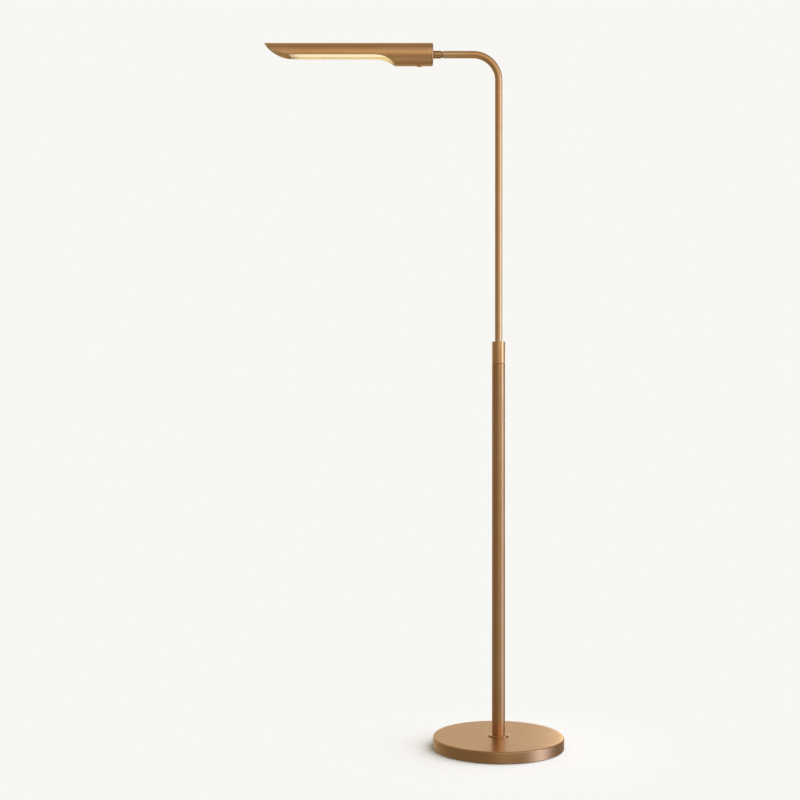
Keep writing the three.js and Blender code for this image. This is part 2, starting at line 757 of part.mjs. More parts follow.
// The extruded channel: fins above, screw ports between them, and lips below that hold the diffuser.
function heatSink() {
  const inner = moduleHalfWidth - moduleWall;
  const lip = inner - lipWidth;
  const fins = finPlaces.toReversed().flatMap((place) => {
    const outer = Math.abs(place) + finThickness / 2;
    const top = Math.sqrt(shadeFitRadius ** 2 - outer ** 2) - standOff;
    return [
      [place + finThickness / 2, sinkPlateTop], [place + finThickness / 2, top],
      [place - finThickness / 2, top], [place - finThickness / 2, sinkPlateTop],
    ];
  });
  const channel = drawnAlongArm([
    [moduleHalfWidth, moduleBottom], [moduleHalfWidth, sinkPlateTop], ...fins,
    [-moduleHalfWidth, sinkPlateTop], [-moduleHalfWidth, moduleBottom], [-lip, moduleBottom], [-lip, lipTop],
    [-inner, lipTop], [-inner, sinkPlateBottom], [inner, sinkPlateBottom], [inner, lipTop], [lip, lipTop],
    [lip, moduleBottom],
  ], sinkReach, moduleEndReach);
  const ports = portPlaces.map(([y, z]) => alongArm(portRadius, sinkReach, moduleEndReach, screwSides, y, z));
  const bores = portPlaces.map(([y, z]) =>
    alongArm(portHole, sinkReach - through, moduleEndReach + through, screwSides, y, z));
  return cut(join(channel, ...ports), ...bores);
}

const insertHalfWidth = moduleHalfWidth - moduleWall - standOff;

const ledBoard = () =>
  block(
    [-moduleEndReach + seat, -insertHalfWidth, boardBottom],
    [-sinkReach - seat, insertHalfWidth, boardBottom + boardThickness],
  );

// The opal profile: a wide face under the channel, a web between the lips and ledges that rest on them.
function diffuser() {
  const web = insertHalfWidth - lipWidth;
  const face = moduleHalfWidth + diffuserOverhang;
  const ledgeTop = ledgeBottom + diffuserThickness;
  return drawnAlongArm([
    [face, faceBottom], [face, faceTop], [web, faceTop], [web, ledgeBottom],
    [insertHalfWidth, ledgeBottom], [insertHalfWidth, ledgeTop],
    [-insertHalfWidth, ledgeTop], [-insertHalfWidth, ledgeBottom],
    [-web, ledgeBottom], [-web, faceTop], [-face, faceTop], [-face, faceBottom],
  ], sinkReach + seat, moduleEndReach - seat);
}

function endPlate() {
  const end = endPlateReach + endPlateThickness;
  const corner = Math.atan2(sinkPlateTop, moduleHalfWidth);
  const steps = filletSteps * 2;
  const arc = Array.from({ length: steps + 1 }, (_, step) => {
    const angle = corner + (Math.PI - 2 * corner) * step / steps;
    const radius = shadeFitRadius - standOff;
    return [radius * Math.cos(angle), radius * Math.sin(angle)];
  });
  const blank = drawnAlongArm([[moduleHalfWidth, faceBottom], ...arc, [-moduleHalfWidth, faceBottom]],
    endPlateReach, end);
  const holes = portPlaces.map(([y, z]) =>
    alongArm(portHole, endPlateReach - through, end + through, screwSides, y, z));
  return cut(blank, ...holes);
}

// ---- Driver and switch pieces ----

function driverTray() {
  const shelf = block([-trayEnd, -trayHalfWidth, trayBottom], [-trayReach, trayHalfWidth, trayTop]);
  const tab = block(
    [-trayEnd, -tabHalfWidth, trayBottom - tabHeight], [trayThickness - trayEnd, tabHalfWidth, trayTop],
  );
  const hole = alongArm(
    portHole, trayEnd - trayThickness - through, trayEnd + through, screwSides, 0, tabScrewHeight,
  );
  return cut(join(shelf, tab), hole);
}

// A potted box with its long edges taken off.
function driverCase() {
  const low = driverBottom;
  const half = driverHalfWidth;
  const outline = [
    [half - driverEdge, low], [half, low + driverEdge], [half, low + driverHeight - driverEdge],
    [half - driverEdge, low + driverHeight], [driverEdge - half, low + driverHeight],
    [-half, low + driverHeight - driverEdge], [-half, low + driverEdge], [driverEdge - half, low],
  ];
  return drawnAlongArm(outline, trayReach + through, trayReach + through + driverLength);
}

const switchModule = () => {
  const half = switchSize / 2;
  return block([-buttonReach - half, -half, switchBottom], [half - buttonReach, half, switchTop]);
};

const onButtonAxis = (geometry) => geometry.translate(-buttonReach, 0, 0);

// The bush that the button slides in: a nose through the shade and a flange inside it.
const buttonGuide = () =>
  onButtonAxis(turned([
    [buttonBore, -headRadius], [guideNoseRadius, -headRadius], [guideNoseRadius, -guideFlangeDrop],
    [guideFlangeRadius, -guideFlangeDrop], [guideFlangeRadius, guideFlangeTop], [buttonBore, guideFlangeTop],
  ], smallSides));

const pushButton = () => {
  const dome = [0, 0.5, 0.85].map((share) => [buttonRadius * share, buttonFoot + buttonDome * share ** 2]);
  return onButtonAxis(turned([
    ...dome, [buttonRadius, buttonFoot + buttonDome], [buttonRadius, buttonShoulderFoot],
    [buttonShoulderRadius, buttonShoulderFoot], [buttonShoulderRadius, buttonShoulderTop],
    [buttonStemRadius, buttonShoulderTop], [buttonStemRadius, buttonStemTop], [0, buttonStemTop],
  ], smallSides));
};

const buttonSpring = () => {
  const low = buttonShoulderTop + springWireRadius + seat;
  const high = switchBottom - springWireRadius - seat;
  const path = new Helix(springRadius, low, high, springTurns);
  return onButtonAxis(swept(path, springTurns * springStepsPerTurn, springWireRadius, 5));
};

// ---- The lamp ----
const lamp = new THREE.Group();
const armLine = new THREE.Group();
armLine.position.z = armAxisHeight;
lamp.add(armLine);

function add(group, name, geometry, material) {
  const mesh = new THREE.Mesh(welded(geometry), material);
  mesh.name = name;
  group.add(mesh);
}

const numbered = (group, name, places, make, material) =>
  places.forEach((place, index) => add(group, `${name}_${index + 1}`, make(place), material));

add(lamp, 'floor_pad', floorPad(), darkFelt);
add(lamp, 'bottom_plate', bottomPlate(), zincSteel);
numbered(lamp, 'plate_screw', screwPlaces, plateScrew, zincSteel);
add(lamp, 'base_weight', baseWeight(), castIron);
add(lamp, 'base_cover', baseCover(), satinBrass);
add(lamp, 'cord_gland', cordGland(), blackPlastic);
add(lamp, 'base_flange', baseFlange(), satinBrass);
add(lamp, 'threaded_nipple', threadedNipple(), zincSteel);
add(lamp, 'nipple_washer', nippleWasher(), zincSteel);
add(lamp, 'nipple_nut', nippleNut(), zincSteel);
add(lamp, 'pole_foot_plug', poleFootPlug(), polishedBrass);
add(lamp, 'lower_tube', lowerTube(), satinBrass);
add(lamp, 'tube_top_insert', tubeTopInsert(), polishedBrass);
add(lamp, 'collet', collet(), whiteNylon);
add(lamp, 'lock_collar', lockCollar(), satinBrass);
add(lamp, 'coiled_lead', coiledLead(), leadSheath);
add(lamp, 'stem_guide', stemGuide(), whiteNylon);
numbered(lamp, 'retaining_clip', clipHeights, retainingClip, zincSteel);
add(lamp, 'swivel_stop_pin', swivelStopPin(), zincSteel);
add(lamp, 'stem_arm', stemArm(), satinBrass);
add(lamp, 'arm_lead', armLead(), leadSheath);

add(armLine, 'arm_tip_plug', armTipPlug(), polishedBrass);
add(armLine, 'fibre_washer', fibreWasher(), redFibre);
add(armLine, 'stop_washer', stopWasher(), zincSteel);
add(armLine, 'spigot_nut', spigotNut(), zincSteel);
add(armLine, 'neck_ferrule', neckFerrule(), satinBrass);
add(armLine, 'rear_cap', rearCap(), satinBrass);
numbered(armLine, 'roll_stop_pin', rollPinPlaces, rollPin, zincSteel);
add(armLine, 'shade_tube', shadeTube(), satinBrass);
add(armLine, 'bulkhead', bulkhead(), bareAluminium);
numbered(armLine, 'bulkhead_screw', portPlaces, bulkheadScrew, zincSteel);
add(armLine, 'heat_sink', heatSink(), bareAluminium);
add(armLine, 'led_board', ledBoard(), whiteBoard);
add(armLine, 'diffuser', diffuser(), opalAcrylic);
add(armLine, 'end_plate', endPlate(), satinBrass);
numbered(armLine, 'end_plate_screw', portPlaces, endPlateScrew, zincSteel);
add(armLine, 'driver_tray', driverTray(), zincSteel);
add(armLine, 'tray_screw', trayScrew(), zincSteel);
add(armLine, 'driver_case', driverCase(), blackPlastic);
add(armLine, 'switch_module', switchModule(), blackPlastic);
add(armLine, 'button_guide', buttonGuide(), satinBrass);
add(armLine, 'push_button', pushButton(), polishedBrass);
add(armLine, 'button_spring', buttonSpring(), zincSteel);

export default lamp;
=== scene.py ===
import math
import json

import bmesh
import bpy
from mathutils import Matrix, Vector


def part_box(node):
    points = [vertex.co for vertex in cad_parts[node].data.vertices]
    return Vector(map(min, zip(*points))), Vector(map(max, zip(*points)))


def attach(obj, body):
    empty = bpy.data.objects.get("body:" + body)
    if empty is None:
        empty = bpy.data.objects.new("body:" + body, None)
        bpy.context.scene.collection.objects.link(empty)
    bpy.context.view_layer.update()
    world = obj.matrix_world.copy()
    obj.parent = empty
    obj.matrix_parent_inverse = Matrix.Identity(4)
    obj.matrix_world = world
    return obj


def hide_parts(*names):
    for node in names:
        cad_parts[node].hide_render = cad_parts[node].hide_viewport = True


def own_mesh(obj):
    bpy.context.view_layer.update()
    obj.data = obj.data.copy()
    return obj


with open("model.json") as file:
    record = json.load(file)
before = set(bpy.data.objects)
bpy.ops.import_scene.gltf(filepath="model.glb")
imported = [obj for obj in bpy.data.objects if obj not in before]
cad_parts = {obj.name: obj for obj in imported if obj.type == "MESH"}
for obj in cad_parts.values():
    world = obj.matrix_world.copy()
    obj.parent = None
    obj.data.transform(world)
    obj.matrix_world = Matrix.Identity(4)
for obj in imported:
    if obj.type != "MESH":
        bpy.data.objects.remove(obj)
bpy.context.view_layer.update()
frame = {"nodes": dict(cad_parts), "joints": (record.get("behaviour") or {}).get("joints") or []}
mm = 0.001

poleLow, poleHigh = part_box("lower_tube")
stemLow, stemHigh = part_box("stem_arm")
poleRadius = (poleHigh[0] - poleLow[0]) / 2
stemRadius = (stemHigh[1] - stemLow[1]) / 2
armHeight = stemHigh[2] - stemRadius              # the arm's axis
print("frame loaded:", len(frame["nodes"]), "nodes")

# ---- mesh building ----

smoothing = {"sharpAngle": 34, "roundSteps": 4, "crownSteps": 10, "weld": 1e-6}


def meshObject(name, points, faces):
    mesh = bpy.data.meshes.new(name)
    mesh.from_pydata([tuple(point) for point in points], [], faces)
    made = bpy.data.objects.new(name, mesh)
    bpy.context.scene.collection.objects.link(made)
    cleanUp(mesh)
    return made


def cleanUp(mesh, recalculate=True):              # one closed skin, smooth but for its real edges
    work = bmesh.new()
    work.from_mesh(mesh)
    bmesh.ops.remove_doubles(work, verts=work.verts, dist=smoothing["weld"])
    bmesh.ops.dissolve_degenerate(work, edges=work.edges, dist=smoothing["weld"] / 10)
    if recalculate:
        bmesh.ops.recalc_face_normals(work, faces=work.faces)
    limit = math.radians(smoothing["sharpAngle"])
    for face in work.faces:
        face.smooth = True
    for edge in work.edges:
        edge.smooth = len(edge.link_faces) == 2 and edge.calc_face_angle(0) < limit
    work.to_mesh(mesh)
    work.free()


def softened(outline, radius):                    # rounds each corner of a closed outline
    steps = smoothing["roundSteps"]
    result = []
    for index, corner in enumerate(outline):
        middle = Vector(corner)
        before = Vector(outline[index - 1]) - middle
        after = Vector(outline[(index + 1) % len(outline)]) - middle
        reach = min(radius, before.length * 0.45, after.length * 0.45)
        if corner[0] == 0 or reach < 1e-7 or before.angle(after) > math.radians(170):
            result.append(middle)
            continue
        start = middle + before.normalized() * reach
        end = middle + after.normalized() * reach
        for step in range(steps + 1):
            t = step / steps
            result.append(start * (1 - t) ** 2 + middle * 2 * t * (1 - t) + end * t ** 2)
    return result


def crowned(radius, top, edge):                   # a quarter round from the outer wall to the end face
    steps = smoothing["crownSteps"]
    angles = [math.radians(90 - 90 * k / steps) for k in range(steps + 1)]
    return [(radius - edge * (1 - math.sin(a)), top - edge * (1 - math.cos(a))) for a in angles]


def onAxis(axis, radius, height, angle, centre):  # a point of a turned piece
    across, over = radius * math.cos(angle), radius * math.sin(angle)
    if axis == "z":
        return Vector((centre[0] + across, centre[1] + over, height))
    if axis == "x":
        return Vector((height, centre[1] + across, centre[2] + over))
    return Vector((centre[0] + across, height, centre[2] + over))


def turned(name, outline, axis="z", centre=(0, 0, 0), sides=128):
    points, faces = [], []
    count = len(outline)
    for side in range(sides):
        angle = 2 * math.pi * side / sides
        points += [onAxis(axis, radius, height, angle, centre) for radius, height in outline]
    for side in range(sides):
        here, there = side * count, (side + 1) % sides * count
        for index in range(count):
            following = (index + 1) % count
            if outline[index][0] < 1e-9 and outline[following][0] < 1e-9:
                continue
            faces.append((here + index, here + following, there + following, there + index))
    return meshObject(name, points, faces)


def extruded(name, outline, low, high):           # a closed outline drawn out along the head
    count = len(outline)
    points = [(place, across, height) for place in (low, high) for across, height in outline]
    faces = [tuple(range(count)), tuple(range(count, 2 * count))]
    for index in range(count):
        following = (index + 1) % count
        faces.append((index, following, count + following, count + index))
    return meshObject(name, points, faces)


def applied(made):                                # modifiers turned into the plain mesh
    graph = bpy.context.evaluated_depsgraph_get()
    mesh = bpy.data.meshes.new_from_object(made.evaluated_get(graph))
    made.modifiers.clear()
    made.data = mesh
    cleanUp(mesh, recalculate=False)
    return made


def bevelled(made, width, segments=2, angle=35):  # small real edges that catch the light
    bevel = made.modifiers.new("edges", "BEVEL")
    bevel.width = width
    bevel.segments = segments
    bevel.limit_method = "ANGLE"
    bevel.angle_limit = math.radians(angle)
    bevel.use_clamp_overlap = True
    return applied(made)


def carved(made, *tools):                         # cuts the tools out of the piece
    for tool in tools:
        cut = made.modifiers.new("cut", "BOOLEAN")
        cut.operation = "DIFFERENCE"
        cut.solver = "EXACT"
        cut.object = tool
    applied(made)
    for tool in tools:
        bpy.data.objects.remove(tool)
    return made


def longestTravel(name):                          # how far a sliding joint goes from rest
    joint = next(joint for joint in frame["joints"] if joint["name"] == name)
    return max(abs(limit) for limit in joint["range_m"])


def finished(made, body, slot, material, *nodes): # every piece gets its material and body, and the nodes it stands in for are hidden
    made.data.materials.clear()
    made.data.materials.append(material)
    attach(made, body)
    if nodes:
        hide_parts(*nodes)
    return made


# ---- shader wiring ----

class Wire:                                       # a socket that takes part in sums
    def __init__(self, finish, socket):
        self.finish = finish
        self.socket = socket

    def maths(self, operation, *others):
        values = dict(enumerate((self, *others)))
        return self.finish.node("Math", {"operation": operation}, values)

    def __add__(self, other):
        return self.maths("ADD", other)

    def __mul__(self, other):
        return self.maths("MULTIPLY", other)

    def __sub__(self, other):
        return self.maths("SUBTRACT", other)

    def __rsub__(self, other):
        return self.finish.node("Math", {"operation": "SUBTRACT"}, {0: other, 1: self})

    def __truediv__(self, other):
        return self.maths("DIVIDE", other)

    def __rtruediv__(self, other):
        return self.finish.node("Math", {"operation": "DIVIDE"}, {0: other, 1: self})

    def __pow__(self, other):
        return self.maths("POWER", other)

    def __rpow__(self, other):
        return self.finish.node("Math", {"operation": "POWER"}, {0: other, 1: self})

    __radd__ = __add__
    __rmul__ = __mul__


class Finish:                                     # a material while it is wired up
    def __init__(self, name, tree=None):
        self.material = None
        if tree is None:
            self.material = bpy.data.materials.new(name)
            self.material.use_nodes = True
            tree = self.material.node_tree
        self.tree = tree
        self.tree.nodes.clear()

    def node(self, kind, settings=None, sockets=None, output=0):
        made = self.tree.nodes.new("ShaderNode" + kind)
        for key, value in (settings or {}).items():
            setattr(made, key, value)
        for key, value in (sockets or {}).items():
            if isinstance(value, Wire):
                self.tree.links.new(value.socket, made.inputs[key])
            else:
                made.inputs[key].default_value = value
        return Wire(self, made.outputs[output]) if len(made.outputs) else None

    def split(self, vector):                      # the three parts of a vector
        first = self.node("SeparateXYZ", None, {0: vector})
        return first, *(Wire(self, first.socket.node.outputs[k]) for k in (1, 2))

    def attribute(self, name):
        return self.node("Attribute", {"attribute_name": name}, None, "Fac")

    def noise(self, vector, scale, detail=2.0, roughness=0.5):
        sockets = {"Vector": vector, "Scale": scale, "Detail": detail, "Roughness": roughness}
        return self.node("TexNoise", {"noise_dimensions": "3D"}, sockets)

    def blend(self, factor, first, second):       # two colours mixed
        return self.node("Mix", {"data_type": "RGBA"}, {0: factor, 6: first, 7: second}, 2)

    def range(self, value, low, high, outLow, outHigh):
        sockets = {"Value": value, "From Min": low, "From Max": high, "To Min": outLow, "To Max": outHigh}
        return self.node("MapRange", {"clamp": True, "interpolation_type": "SMOOTHSTEP"}, sockets)

    def bump(self, height, distance, strength=1.0, under=None):
        sockets = {"Height": height, "Distance": distance, "Strength": strength}
        if under:
            sockets["Normal"] = under
        return self.node("Bump", None, sockets)

    def surface(self, **sockets):                 # the principled shader and the output
        named = {key.replace("_", " "): value for key, value in sockets.items()}
        shader = self.node("BsdfPrincipled", None, named)
        self.node("OutputMaterial", None, {"Surface": shader})
        return self.material


def colour(red, green, blue):                     # display values 0-255 as a linear colour
    linear = []
    for value in (red, green, blue):
        share = value / 255
        linear.append(share / 12.92 if share <= 0.04045 else ((share + 0.055) / 1.055) ** 2.4)
    return (*linear, 1)


# inside the shade: a smoother brass, painted paler to stand for the lamp's light on it, and a painted glow
# ("lit") on the wall beside the lamp
shadeInsideWithPaintedGlow = {"tone": colour(255, 222, 172), "lit": colour(255, 247, 228), "roughness": 0.26}
# painted light: a lighter copy of the same brass, standing in for the light that falls brighter on the stem,
# collar, shade and button
brassPaintedLighter = {
    "bright": colour(255, 212, 160),
    "warm": colour(250, 196, 140),
    "dark": colour(206, 152, 100),
    "rosy": colour(255, 202, 158),
    "wornAndSheen": colour(255, 232, 194),
    "roughness": 0.34,
    "coat": 0.10,
}
brushing = {                                      # how many marks go to a metre, and how deep they are
    "fine": 5200,
    "fineDepth": 0.004 * mm,
    "coarse": 900,
    "coarseDepth": 0.01 * mm,
    "spots": 90,
    "spotDepth": 0.02 * mm,
    "cloud": 14,
    "drift": 7,
    "along": 0.02,                                # how much slower the streaks change along the grain
    "around": 0.012,                              # the same, around the base
}
brass = {
    "bright": colour(232, 190, 145),
    "warm": colour(222, 173, 124),
    "dark": colour(176, 128, 84),
    "rosy": colour(230, 180, 142),
    "wornAndSheen": colour(246, 220, 182),
    "roughness": 0.34,
    "coat": 0.10,
}


def grainSpace(finish, spot, grain):              # coordinates that are drawn out along the brushing
    if grain == "round":                          # the base is brushed in circles
        x, y, z = finish.split(spot)
        radius = (x * x + y * y) ** 0.5
        safe = radius + 1e-4
        around = brushing["around"]
        return finish.node("CombineXYZ", None, {0: radius, 1: x / safe * around, 2: y / safe * around + z})
    stretch = [1, 1, 1]
    stretch["xyz".index(grain)] = brushing["along"]
    return finish.node("Mapping", None, {"Vector": spot, "Scale": stretch})


def brassFinish(name, grain, settings=brass, tint=0.5, rough=None, insideWithPaintedGlow=None):
    finish = Finish(name)
    rough = settings["roughness"] if rough is None else rough
    spot = finish.node("TexCoord", output="Object")
    streaks = grainSpace(finish, spot, grain)
    fine = finish.noise(streaks, brushing["fine"], 2)           # hairlines of the brushing
    coarse = finish.noise(streaks, brushing["coarse"], 3)
    cloud = finish.noise(spot, brushing["cloud"], 4, 0.6)       # burnishing, a hand's breadth across
    spots = finish.noise(spot, brushing["spots"], 3, 0.65)
    drift = finish.noise(spot, brushing["drift"], 3, 0.55)
    edge = finish.attribute("edgeWearAndSheen")
    patches = finish.range(cloud, 0.35, 0.68, 0, 1)
    shift = finish.range(drift, 0.38, 0.64, 0, 0.55)
    tone = finish.blend(patches * (1 - tint) + tint * 0.5, settings["warm"], settings["bright"])
    tone = finish.blend(shift * (1 - tint), tone, settings["rosy"])
    tone = finish.blend(finish.range(coarse, 0.35, 0.75, 0, 0.16), tone, settings["dark"])
    tone = finish.blend(finish.range(fine, 0.5, 0.8, 0, 0.12), tone, settings["wornAndSheen"])
    tone = finish.blend(finish.range(spots, 0.62, 0.8, 0, 0.14), tone, settings["dark"])
    # partly painted highlight: the rubbed outer edges are painted paler in patches
    tone = finish.blend(edge * finish.range(spots, 0.3, 0.6, 0.3, 0.6), tone, settings["wornAndSheen"])
    gloss = rough + (coarse - 0.5) * 0.10 + (cloud - 0.5) * 0.08 - edge * 0.05
    relief = finish.bump(fine, brushing["fineDepth"], 0.5)
    relief = finish.bump(coarse, brushing["coarseDepth"], 0.5, relief)
    relief = finish.bump(spots, brushing["spotDepth"], 0.5, relief)
    if insideWithPaintedGlow:                                    # the shade's inside is smoother, and painted paler to stand for the lamp's light falling on it
        within = finish.attribute("within")
        tone = finish.blend(within, tone, insideWithPaintedGlow["tone"])
        # painted light: the inner wall beside the lamp is painted nearly white, as if lit by it
        tone = finish.blend(finish.attribute("lit"), tone, insideWithPaintedGlow["lit"])
        gloss = gloss * (1 - within) + within * (coarse * 0.1 + insideWithPaintedGlow["roughness"])
    return finish.surface(
        Base_Color=tone, Metallic=1.0, Roughness=gloss, Normal=relief,
        Coat_Weight=settings["coat"], Coat_Roughness=0.3,
    )


def markWithin(made, radius, front):              # which points are on the inner wall, and which get the painted lamp light
    within = [math.hypot(vert.co.y, vert.co.z - armHeight) < radius for vert in made.data.vertices]
    lit = [inner and vert.co.x > front for inner, vert in zip(within, made.data.vertices)]
    for name, values in (("within", within), ("lit", lit)):
        layer = made.data.attributes.new(name, "FLOAT", "POINT")
        layer.data.foreach_set("value", [float(value) for value in values])
    return made


# rubbed, paler outer edges, which also stand in as a painted highlight on them
edgeWearAndSheen = {                                          # "from" and "over" are degrees of bend
    "reach": 1.2 * mm,
    "from": 8,
    "over": 25,
}


def markWearAndSheen(made):                               # how near each point is to a real outer edge, for the rubbed edges that also serve as a painted highlight
    mesh = made.data
    work = bmesh.new()
    work.from_mesh(mesh)
    layer = work.verts.layers.float.new("edgeWearAndSheen")
    for vert in work.verts:
        bend = 0
        for edge in vert.link_edges:
            if len(edge.link_faces) == 2 and edge.calc_length() < edgeWearAndSheen["reach"]:
                bend = max(bend, edge.calc_face_angle_signed(0))
        sharpness = (math.degrees(bend) - edgeWearAndSheen["from"]) / edgeWearAndSheen["over"]
        vert[layer] = min(1, max(0, sharpness))
    work.to_mesh(mesh)
    work.free()
    return made


def plainFinish(name, first, second, rough, metal, grain, depth, stretch=(1, 1, 1), detail=3, **more):
    finish = Finish(name)
    place = finish.node("TexCoord", output="Object")
    spot = finish.node("Mapping", None, {"Vector": place, "Scale": stretch})
    close = finish.noise(spot, grain, detail, 0.6)
    broad = finish.noise(spot, grain / 12, 3, 0.55)
    share = finish.range(close * 0.6 + broad * 0.4, 0.38, 0.62, 0, 1)
    tone = finish.blend(share, colour(*first), colour(*second))
    gloss = rough + (close - 0.5) * 0.2
    relief = finish.bump(close, depth, 0.6)
    return finish.surface(Base_Color=tone, Metallic=metal, Roughness=gloss, Normal=relief, **more)


poleFinish = brassFinish("brass brushed along the pole", "z")
# the stem, collar, shade and button take the lighter, painted-lit copy of the brass
stemFinish = brassFinish("brass of the stem and collar", "z", brassPaintedLighter)
capFinish = brassFinish("brass brushed along the head", "x")
shadeFinish = brassFinish("brass of the shade", "x", brassPaintedLighter, insideWithPaintedGlow=shadeInsideWithPaintedGlow)
baseFinish = brassFinish("brass brushed in circles", "round", rough=0.30)
turnedFinish = brassFinish("brass turned", "z", tint=0.8, rough=0.18)
endPlateFinish = brassFinish("brass inside the shade", "x", rough=0.42)
# painted highlight: the button is painted mostly in the brightest tone of the lighter brass
buttonFinish = brassFinish("brass of the button", "z", brassPaintedLighter, tint=0.9, rough=0.46)
castIron = plainFinish("black cast iron", (38, 38, 40), (58, 57, 58), 0.62, 0.4, 700, 0.0004)
zincPlate = plainFinish("zinc plate", (168, 172, 176), (196, 198, 198), 0.32, 1.0, 1500, 0.00003, (1, 1, 0.2))
blackFelt = plainFinish("black felt", (36, 34, 33), (62, 58, 55), 0.95, 0.0, 2600, 0.0005, detail=6)
blackPlastic = plainFinish("black moulding", (24, 24, 26), (34, 34, 36), 0.5, 0.0, 3200, 0.00005)
nylon = plainFinish(
    "natural nylon", (226, 222, 208), (236, 233, 222), 0.42, 0.0, 1200, 0.00004, Subsurface_Weight=0.05)
aluminium = plainFinish(
    "extruded aluminium", (186, 188, 190), (206, 207, 208), 0.36, 1.0, 2200, 0.00003, (0.02, 1, 1))
boardWhite = plainFinish("white solder mask", (236, 236, 228), (246, 246, 240), 0.35, 0.0, 1800, 0.00002)
# partly painted light: the fibre's own brown, made lighter to fill in the shade of the groove it sits in
fibre = plainFinish("pressed fibre", (128, 94, 64), (150, 112, 78), 0.85, 0.0, 2400, 0.0002)
sheath = plainFinish("lead sheath", (46, 38, 32), (58, 49, 41), 0.5, 0.0, 1600, 0.00004)
print("finishes wired")

# ---- camera, lights and floor ----

camera = {
    "place": (-0.19128, -2.74544, 0.69123),
    "down": 0.344,                                # degrees below level
    "lens": 63.66,
    "sensor": 36,
}
lens = bpy.data.cameras.new("camera")
lens.lens = camera["lens"]
lens.sensor_width = camera["sensor"]
lens.clip_end = 50
viewer = bpy.data.objects.new("camera", lens)
viewer.location = camera["place"]
viewer.rotation_euler = (math.radians(90 - camera["down"]), 0, 0)
bpy.context.scene.collection.objects.link(viewer)
bpy.context.scene.camera = viewer

studio = {
    "backdrop": colour(248, 247, 243),
    "view": "Standard",
    "floorRadius": 0.62,
    "floorSides": 96,
    "floorDrop": 0.4 * mm,
    "floorClear": 0.145,                          # the floor is solid to here, then fades out
    "floorFade": 0.36,
    "paper": (0.885, 0.905, 0.93, 1),
}
softBoxes = {                                     # place, aim, width, height, power, tint
    "key panel": ((2.2, -0.75, 1.35), (0, 0, 1.1), 0.9, 1.6, 5, (0.88, 1.0, 1.32)),
    "rear panel": ((0.75, 1.9, 0.5), (0, 0, 0.1), 0.8, 0.7, 2.5, (1, 0.92, 0.70)),
}
floorSun = {"power": 2.8, "spread": 80, "towards": (-0.8, -0.03, -1)}


def lightUp(name, kind, towards, power):          # a light of any kind, turned to where it shines
    light = bpy.data.lights.new(name, kind)
    light.energy = power
    made = bpy.data.objects.new(name, light)
    made.rotation_euler = Vector(towards).to_track_quat("-Z", "Y").to_euler()
    bpy.context.scene.collection.objects.link(made)
    return made


def makeLights():
    for name, (place, aim, width, height, power, tint) in softBoxes.items():
        panel = lightUp(name, "AREA", Vector(aim) - Vector(place), power)
        panel.location = place
        panel.data.shape = "RECTANGLE"
        panel.data.size = width
        panel.data.size_y = height
        panel.data.color = tint
    sun = lightUp("floor sun", "SUN", floorSun["towards"], floorSun["power"])
    sun.data.angle = math.radians(floorSun["spread"])
    sun.visible_glossy = False                    # it lights the matt things and the floor only


surroundings = {                                  # what the brass mirrors: an even light and far soft panels
    "ambient": (0.24, (1, 0.84, 0.60)),
    "panels": [                                   # degrees right and up, sharpness, strength, tint, squat
        (75, -14, 19, 1.02, (0.86, 1.04, 1.50), 0.45),
        (0, 24, 25, 0.13, (1, 0.88, 0.66), 1.0),
        (4, 5, 30, 0.25, (1, 0.84, 0.60), 1.0),
        (0, -62, 8, 0.20, (1, 0.84, 0.60), 1.0),
        (30, 26, 8, 0.46, (1, 0.95, 0.86), 1.0),
        (180, 14, 7, 0.40, (1, 0.93, 0.78), 0.45),
        (-140, 20, 8, 0.16, (1, 0.92, 0.80), 0.45),
    ],
    "below": 0.78,                                # the share of the ambient light that comes from below
    "horizon": (-0.45, 0.05),
}


def makeWorld():
    world = bpy.data.worlds.new("studio")
    world.use_nodes = True
    bpy.context.scene.world = world
    sky = Finish("studio", world.node_tree)
    spot = sky.node("TexCoord", output="Generated")
    strength, tint = surroundings["ambient"]
    level = sky.range(sky.split(spot)[2], *surroundings["horizon"], surroundings["below"], 1)
    glow = sky.node("Background", None, {"Color": (*tint, 1), "Strength": level * strength})
    for azimuth, height, spread, strength, tint, squat in surroundings["panels"]:
        tall = sky.node("VectorMath", {"operation": "MULTIPLY"}, {0: spot, 1: (1, 1, squat)})
        direction = sky.node("VectorMath", {"operation": "NORMALIZE"}, {0: tall})
        around, up = math.radians(azimuth), math.radians(height) * squat
        aim = (math.sin(around) * math.cos(up), -math.cos(around) * math.cos(up), math.sin(up))
        facing = sky.node("VectorMath", {"operation": "DOT_PRODUCT"}, {0: direction, 1: aim}, "Value")
        lobe = ((facing - 1) * spread).maths("EXPONENT") * strength
        panel = sky.node("Background", None, {"Color": (*tint, 1), "Strength": lobe})
        glow = sky.node("AddShader", None, {0: glow, 1: panel})
    backdrop = sky.node("Background", None, {"Color": studio["backdrop"], "Strength": 1.0})
    seen = sky.node("LightPath", output="Is Camera Ray")
    shown = sky.node("MixShader", None, {0: seen, 1: glow, 2: backdrop})
    sky.node("OutputWorld", None, {"Surface": shown})


